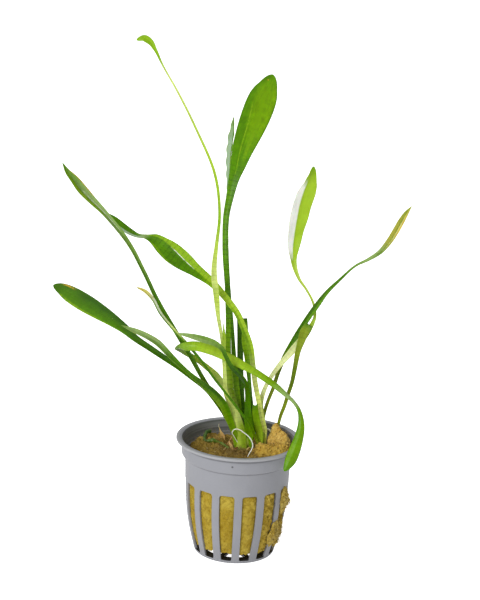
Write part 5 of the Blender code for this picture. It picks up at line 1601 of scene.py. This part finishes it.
make_leaf(
    "leaf_cut_right",
    route=[
        (17.3, 12.6, 52.0, 1.25, 1, 0, 0.15), (17.5, 12.2, 55.5, 1.25), (18.4, 11.6, 60.8, 1.6),
        (19.8, 11.0, 65.6, 1.7), (20.9, 10.4, 70.5, 1.75), (22.6, 9.2, 77.9, 1.85, 0.95),
        (23.5, 8.0, 85.1, 2.05, 0.9), (24.6, 6.6, 94.2, 2.55), (25.8, 6.3, 99.0, 3.4, 0.85, 0, 0.2),
        (27.1, 6.3, 103.5, 4.1, 0.8), (28.7, 6.2, 106.3, 3.3, 0.7),
    ],
    tones=[
        (0.0, "straw"), (0.08, "olive"), (0.25, "olive"), (0.45, "moss"), (0.6, "moss"),
        (0.75, "olive"), (0.94, "olive"), (1.0, "forest"),
    ],
    foot=[(17.0, 12.4, 47.2, 1.3, 1.0, 0, 0.15), (17.15, 12.5, 49.6, 1.25, 1.0, 0, 0.15)],
    shape=dict(cut=0.2),
    cross_wall=0.2, gloss=0.34,
)

# Stump. What is left of a leaf that was cut off low between the crowns, in a shallow notch.

make_leaf(
    "leaf_stump",
    route=[
        (9.2, 6.7, 53.9, 3.4, 1, 10, 0.15), (8.4, 6.1, 57.4, 3.35, 1.1),
        (7.5, 5.6, 60.9, 3.3, 1, 10, 0.2), (6.9, 5.1, 64.8, 2.85, 0.9), (6.6, 5.0, 67.3, 2.5, 0.7),
    ],
    tones=[(0.0, "bright"), (0.4, "spring"), (0.8, "fresh"), (1.0, "forest")],
    foot=[(9.6, 7.0, 46.2, 2.6, 1.2, 10, 0.15), (9.6, 6.9, 50.2, 2.7, 1.1, 10, 0.15)],
    glints=[(0.05, 0.8, -0.4, 0.08, "spring")],
    shape=dict(cut=1.3),
    cross_wall=0.12, gloss=0.34,
)

# Loose roots. White threads that have grown up out of the wool: one arches over the front of the
# left crown, and a short one bridges from the right crown to the tuft.

ROOT_LOOP = [
    (-0.3, 3.8, 46.2), (-0.3, 3.8, 49.0), (-1.8, 2.6, 52.4), (-3.1, 1.6, 55.4), (-2.5, 1.2, 56.6),
    (-1.3, 0.8, 57.3), (0.3, 0.4, 57.1), (2.3, 0.0, 55.9), (4.4, -0.6, 54.5), (5.7, -1.0, 52.8),
    (6.4, -1.6, 50.6), (5.9, -2.6, 49.0), (4.8, -3.8, 47.3), (4.2, -4.4, 45.8),
]
ROOT_BRIDGE = [
    (11.2, 12.6, 50.8), (11.9, 14.0, 52.1), (12.7, 14.4, 52.7), (13.6, 14.2, 52.5),
    (14.3, 13.4, 51.8), (15.0, 12.6, 50.8),
]


def tube(route, diameters, sides=12, steps=8, lumps=0.0, seed=0):
    """A round tube along a smooth path through the route; its diameter runs through the given
    ones, and noise may thicken and thin it. Each ring stands across the path on two directions
    made from the path's own and a fixed one. Both ends are rounded to a pole."""
    rows = np.hstack([np.array(route, float), np.zeros((len(route), 1))]) * MM
    rows[:, 3] = np.interp(np.linspace(0, 1, len(route)), np.linspace(0, 1, len(diameters)),
                           diameters) * MM
    path = smooth_through(rows, steps * (len(route) - 1) + 1)
    centre = path[:, :3]
    along = unit(np.gradient(centre, axis=0))
    first = unit(np.cross(along, (0.31, 0.47, 0.83)))
    second = np.cross(along, first)
    turn = around(sides)
    radius = path[:, 3:4] / 2 * (1 + lumps * waves(centre, seed, 2.2 * MM)[:, None])
    radius[[0, -1]] *= 0.6
    ring = first[:, None] * np.cos(turn)[:, None] + second[:, None] * np.sin(turn)[:, None]
    grid = centre[:, None] + ring * radius[..., None]
    poles = np.stack([centre[0] - along[0] * radius[0] * 0.5,
                      centre[-1] + along[-1] * radius[-1] * 0.5])
    share = np.linspace(0, 1, len(centre))[:, None]
    return *closed(grid, poles), on_pattern(share, turn / (2 * math.pi), [[0, 0], [1, 0]])


def thread_material(name, near, far, roughness=0.45, scale=800.0):
    """A thin growing thing: its colour runs from one end to the other with fine uneven bands."""
    made, tree = new_material(name)
    patch = noise(tree, own_place(tree), scale, 3.0)
    share = ranged(tree, calc(tree, "MULTIPLY_ADD", patch, 0.5, pattern(tree)[0]), 0.2, 1.2)
    return dress(made, base_color=mix(tree, share, tone(*near), tone(*far)), roughness=roughness,
                 subsurface_weight=0.1, subsurface_scale=0.0005,
                 normal=bump(tree, patch, 0.25, 0.00008))


root_white = thread_material("root_white", (252, 248, 226), (255, 255, 246))
loop = make_piece("arched_root", tube(ROOT_LOOP, (0.38, 0.44, 0.46, 0.54, 0.44), lumps=0.05, seed=71),
                  root_white)
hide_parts("root_loop")
make_piece("bridging_root", tube(ROOT_BRIDGE, (0.7, 0.8, 0.7), lumps=0.05, seed=72), root_white)

# Dried scrap. A sliver of old leaf, orange-tan and curled, that stands in the wool and ends in a
# pale thread.

SCRAP_ROUTE = [
    (-7.6, 12.0, 47.3, 2.2, 0.4, 0, 0.2), (-7.2, 12.2, 48.9, 2.2, 0.4, 10, 0.3),
    (-7.9, 12.4, 50.6, 1.3, 0.4, 20, 0.3), (-9.0, 12.8, 52.8, 0.4, 0.4, 20, 0.1),
]
SCRAP_FOOT = [(-8.0, 11.8, 45.4, 1.6, 0.4, 0, 0.2)]
SCRAP_THREAD = [(-8.6, 12.7, 52.0), (-9.2, 12.8, 53.2), (-9.4, 12.7, 54.0), (-9.2, 12.6, 54.8)]


def dry_material(name, near, far):
    """Dead leaf: papery, with brown veins drawn along it."""
    made, tree = new_material(name)
    along, across = pattern(tree)
    patch = noise(tree, own_place(tree), 900.0, 4.0)
    vein = calc(tree, "PINGPONG", calc(tree, "MULTIPLY_ADD", across, 7.0, patch), 0.5)
    colour = mix(tree, along, tone(*near), tone(*far))
    colour = mix(tree, ranged(tree, vein, 0.14, 0.0, 0.0, 0.55), colour, tone(150, 96, 34))
    return dress(made, base_color=colour, roughness=0.75, subsurface_weight=0.1,
                 subsurface_scale=0.0005, normal=bump(tree, patch, 0.4, 0.0001))


scrap_leaf, _ = leaf_shape(SCRAP_ROUTE, SCRAP_FOOT, 81, wave=0.25, wave_length=2.2)
scrap = make_piece("curled_scrap", scrap_leaf,
                   dry_material("dry_tan", (192, 150, 78), (222, 190, 122)))
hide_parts("dried_leaf_scrap")
make_piece("scrap_thread", tube(SCRAP_THREAD, (0.4, 0.28, 0.16)),
           thread_material("pale_thread", (214, 190, 128), (222, 216, 190)))

# Litter on the wool. A dark green strand of algae arches at the left and trails to the crown, and
# there are a tan twig, a tan curl, a sliver of old sheath, a red-brown chip and eight pale grains.

ALGAE_ROUTE = [
    (-12.8, 13.6, 50.5), (-13.7, 13.2, 50.8), (-14.7, 12.2, 50.6), (-15.2, 10.8, 49.7),
    (-15.5, 9.2, 48.7), (-15.1, 8.0, 48.1), (-13.5, 8.0, 48.2), (-11.4, 8.2, 48.3),
    (-9.6, 7.9, 48.0), (-7.7, 7.2, 47.6), (-5.9, 5.8, 47.0), (-4.1, 4.2, 46.2),
]
ALGAE_DIAMETERS = (1.5, 1.7, 1.3, 1.1, 1.5, 1.5, 1.4, 1.6, 1.3)
# Each bit has a route, diameters, and the colours of its two ends.
LITTER = [
    ("tan_twig", [(-2.9, 10.5, 50.0), (-3.9, 8.9, 48.9), (-5.0, 7.3, 47.3), (-5.5, 6.6, 46.2)],
     (0.35, 0.45, 0.4), (206, 168, 112), (178, 132, 74)),
    ("red_chip", [(-2.1, 0.9, 46.9), (-1.2, 2.1, 47.5), (-0.3, 3.5, 47.5)], (0.5, 0.8, 0.4),
     (132, 62, 26), (150, 78, 34)),
    ("tan_curl", [(3.6, 0.6, 46.8), (4.0, 1.6, 47.7), (4.9, 2.6, 48.0), (4.9, 3.9, 47.6)],
     (0.35, 0.7, 0.4), (214, 184, 106), (226, 204, 132)),
]
CHIP_ROUTE = [
    (-2.6, 2.6, 46.4, 0.9, 0.35, 0, 0.3), (-3.0, 3.8, 47.5, 1.5, 0.35, 10, 0.3),
    (-3.9, 5.6, 48.5, 0.9, 0.35, 20, 0.3), (-4.3, 6.2, 49.3, 0.3, 0.35, 20, 0.1),
]
# Each grain is (x, y, z, radius), in millimetres.
GRAINS = [
    (-5.8, 2.1, 47.3, 0.42), (-6.3, 0.9, 47.2, 0.36), (-14.0, 1.4, 47.2, 0.32),
    (-10.2, -2.6, 47.2, 0.3), (-5.2, -7.6, 47.3, 0.34), (0.6, -9.8, 47.2, 0.3),
    (-16.4, -1.6, 46.9, 0.34), (2.2, -6.6, 47.2, 0.28),
]


def grain_shape(middle, radius, seed):
    """A small lumpy ball: a sphere of polar rings whose radius varies by noise."""
    polar = np.linspace(0.2, math.pi - 0.2, 10)[:, None]
    turn = around(16)
    ball = np.stack([np.sin(polar) * np.cos(turn), np.sin(polar) * np.sin(turn),
                     np.cos(polar) + 0 * turn], axis=-1)
    points, faces = closed(ball, [[0, 0, 1], [0, 0, -1]])
    points = points * (1 + 0.22 * waves(points, seed, 1.3)[:, None])
    return (points * radius + middle) * MM, faces


algae_green = thread_material("algae_green", (30, 62, 0), (96, 130, 24), roughness=0.42, scale=700.0)
make_piece("algae_strand", tube(ALGAE_ROUTE, ALGAE_DIAMETERS, sides=20, lumps=0.3, seed=91),
           algae_green)
for seed, (name, route, diameters, near, far) in enumerate(LITTER, 92):
    make_piece(name, tube(route, diameters, lumps=0.2, seed=seed),
               thread_material(name, near, far, roughness=0.6))
chip, _ = leaf_shape(CHIP_ROUTE, [], 97, wave=0.2, wave_length=2.0)
make_piece("sheath_chip", chip, dry_material("old_sheath", (196, 158, 88), (214, 182, 116)))
grain_white = fibre_material("grain_white", (214, 192, 140), (170, 138, 74))
for number, (*middle, radius) in enumerate(GRAINS):
    make_piece(f"pale_grain_{number + 1}", grain_shape(middle, radius, 98 + number), grain_white)
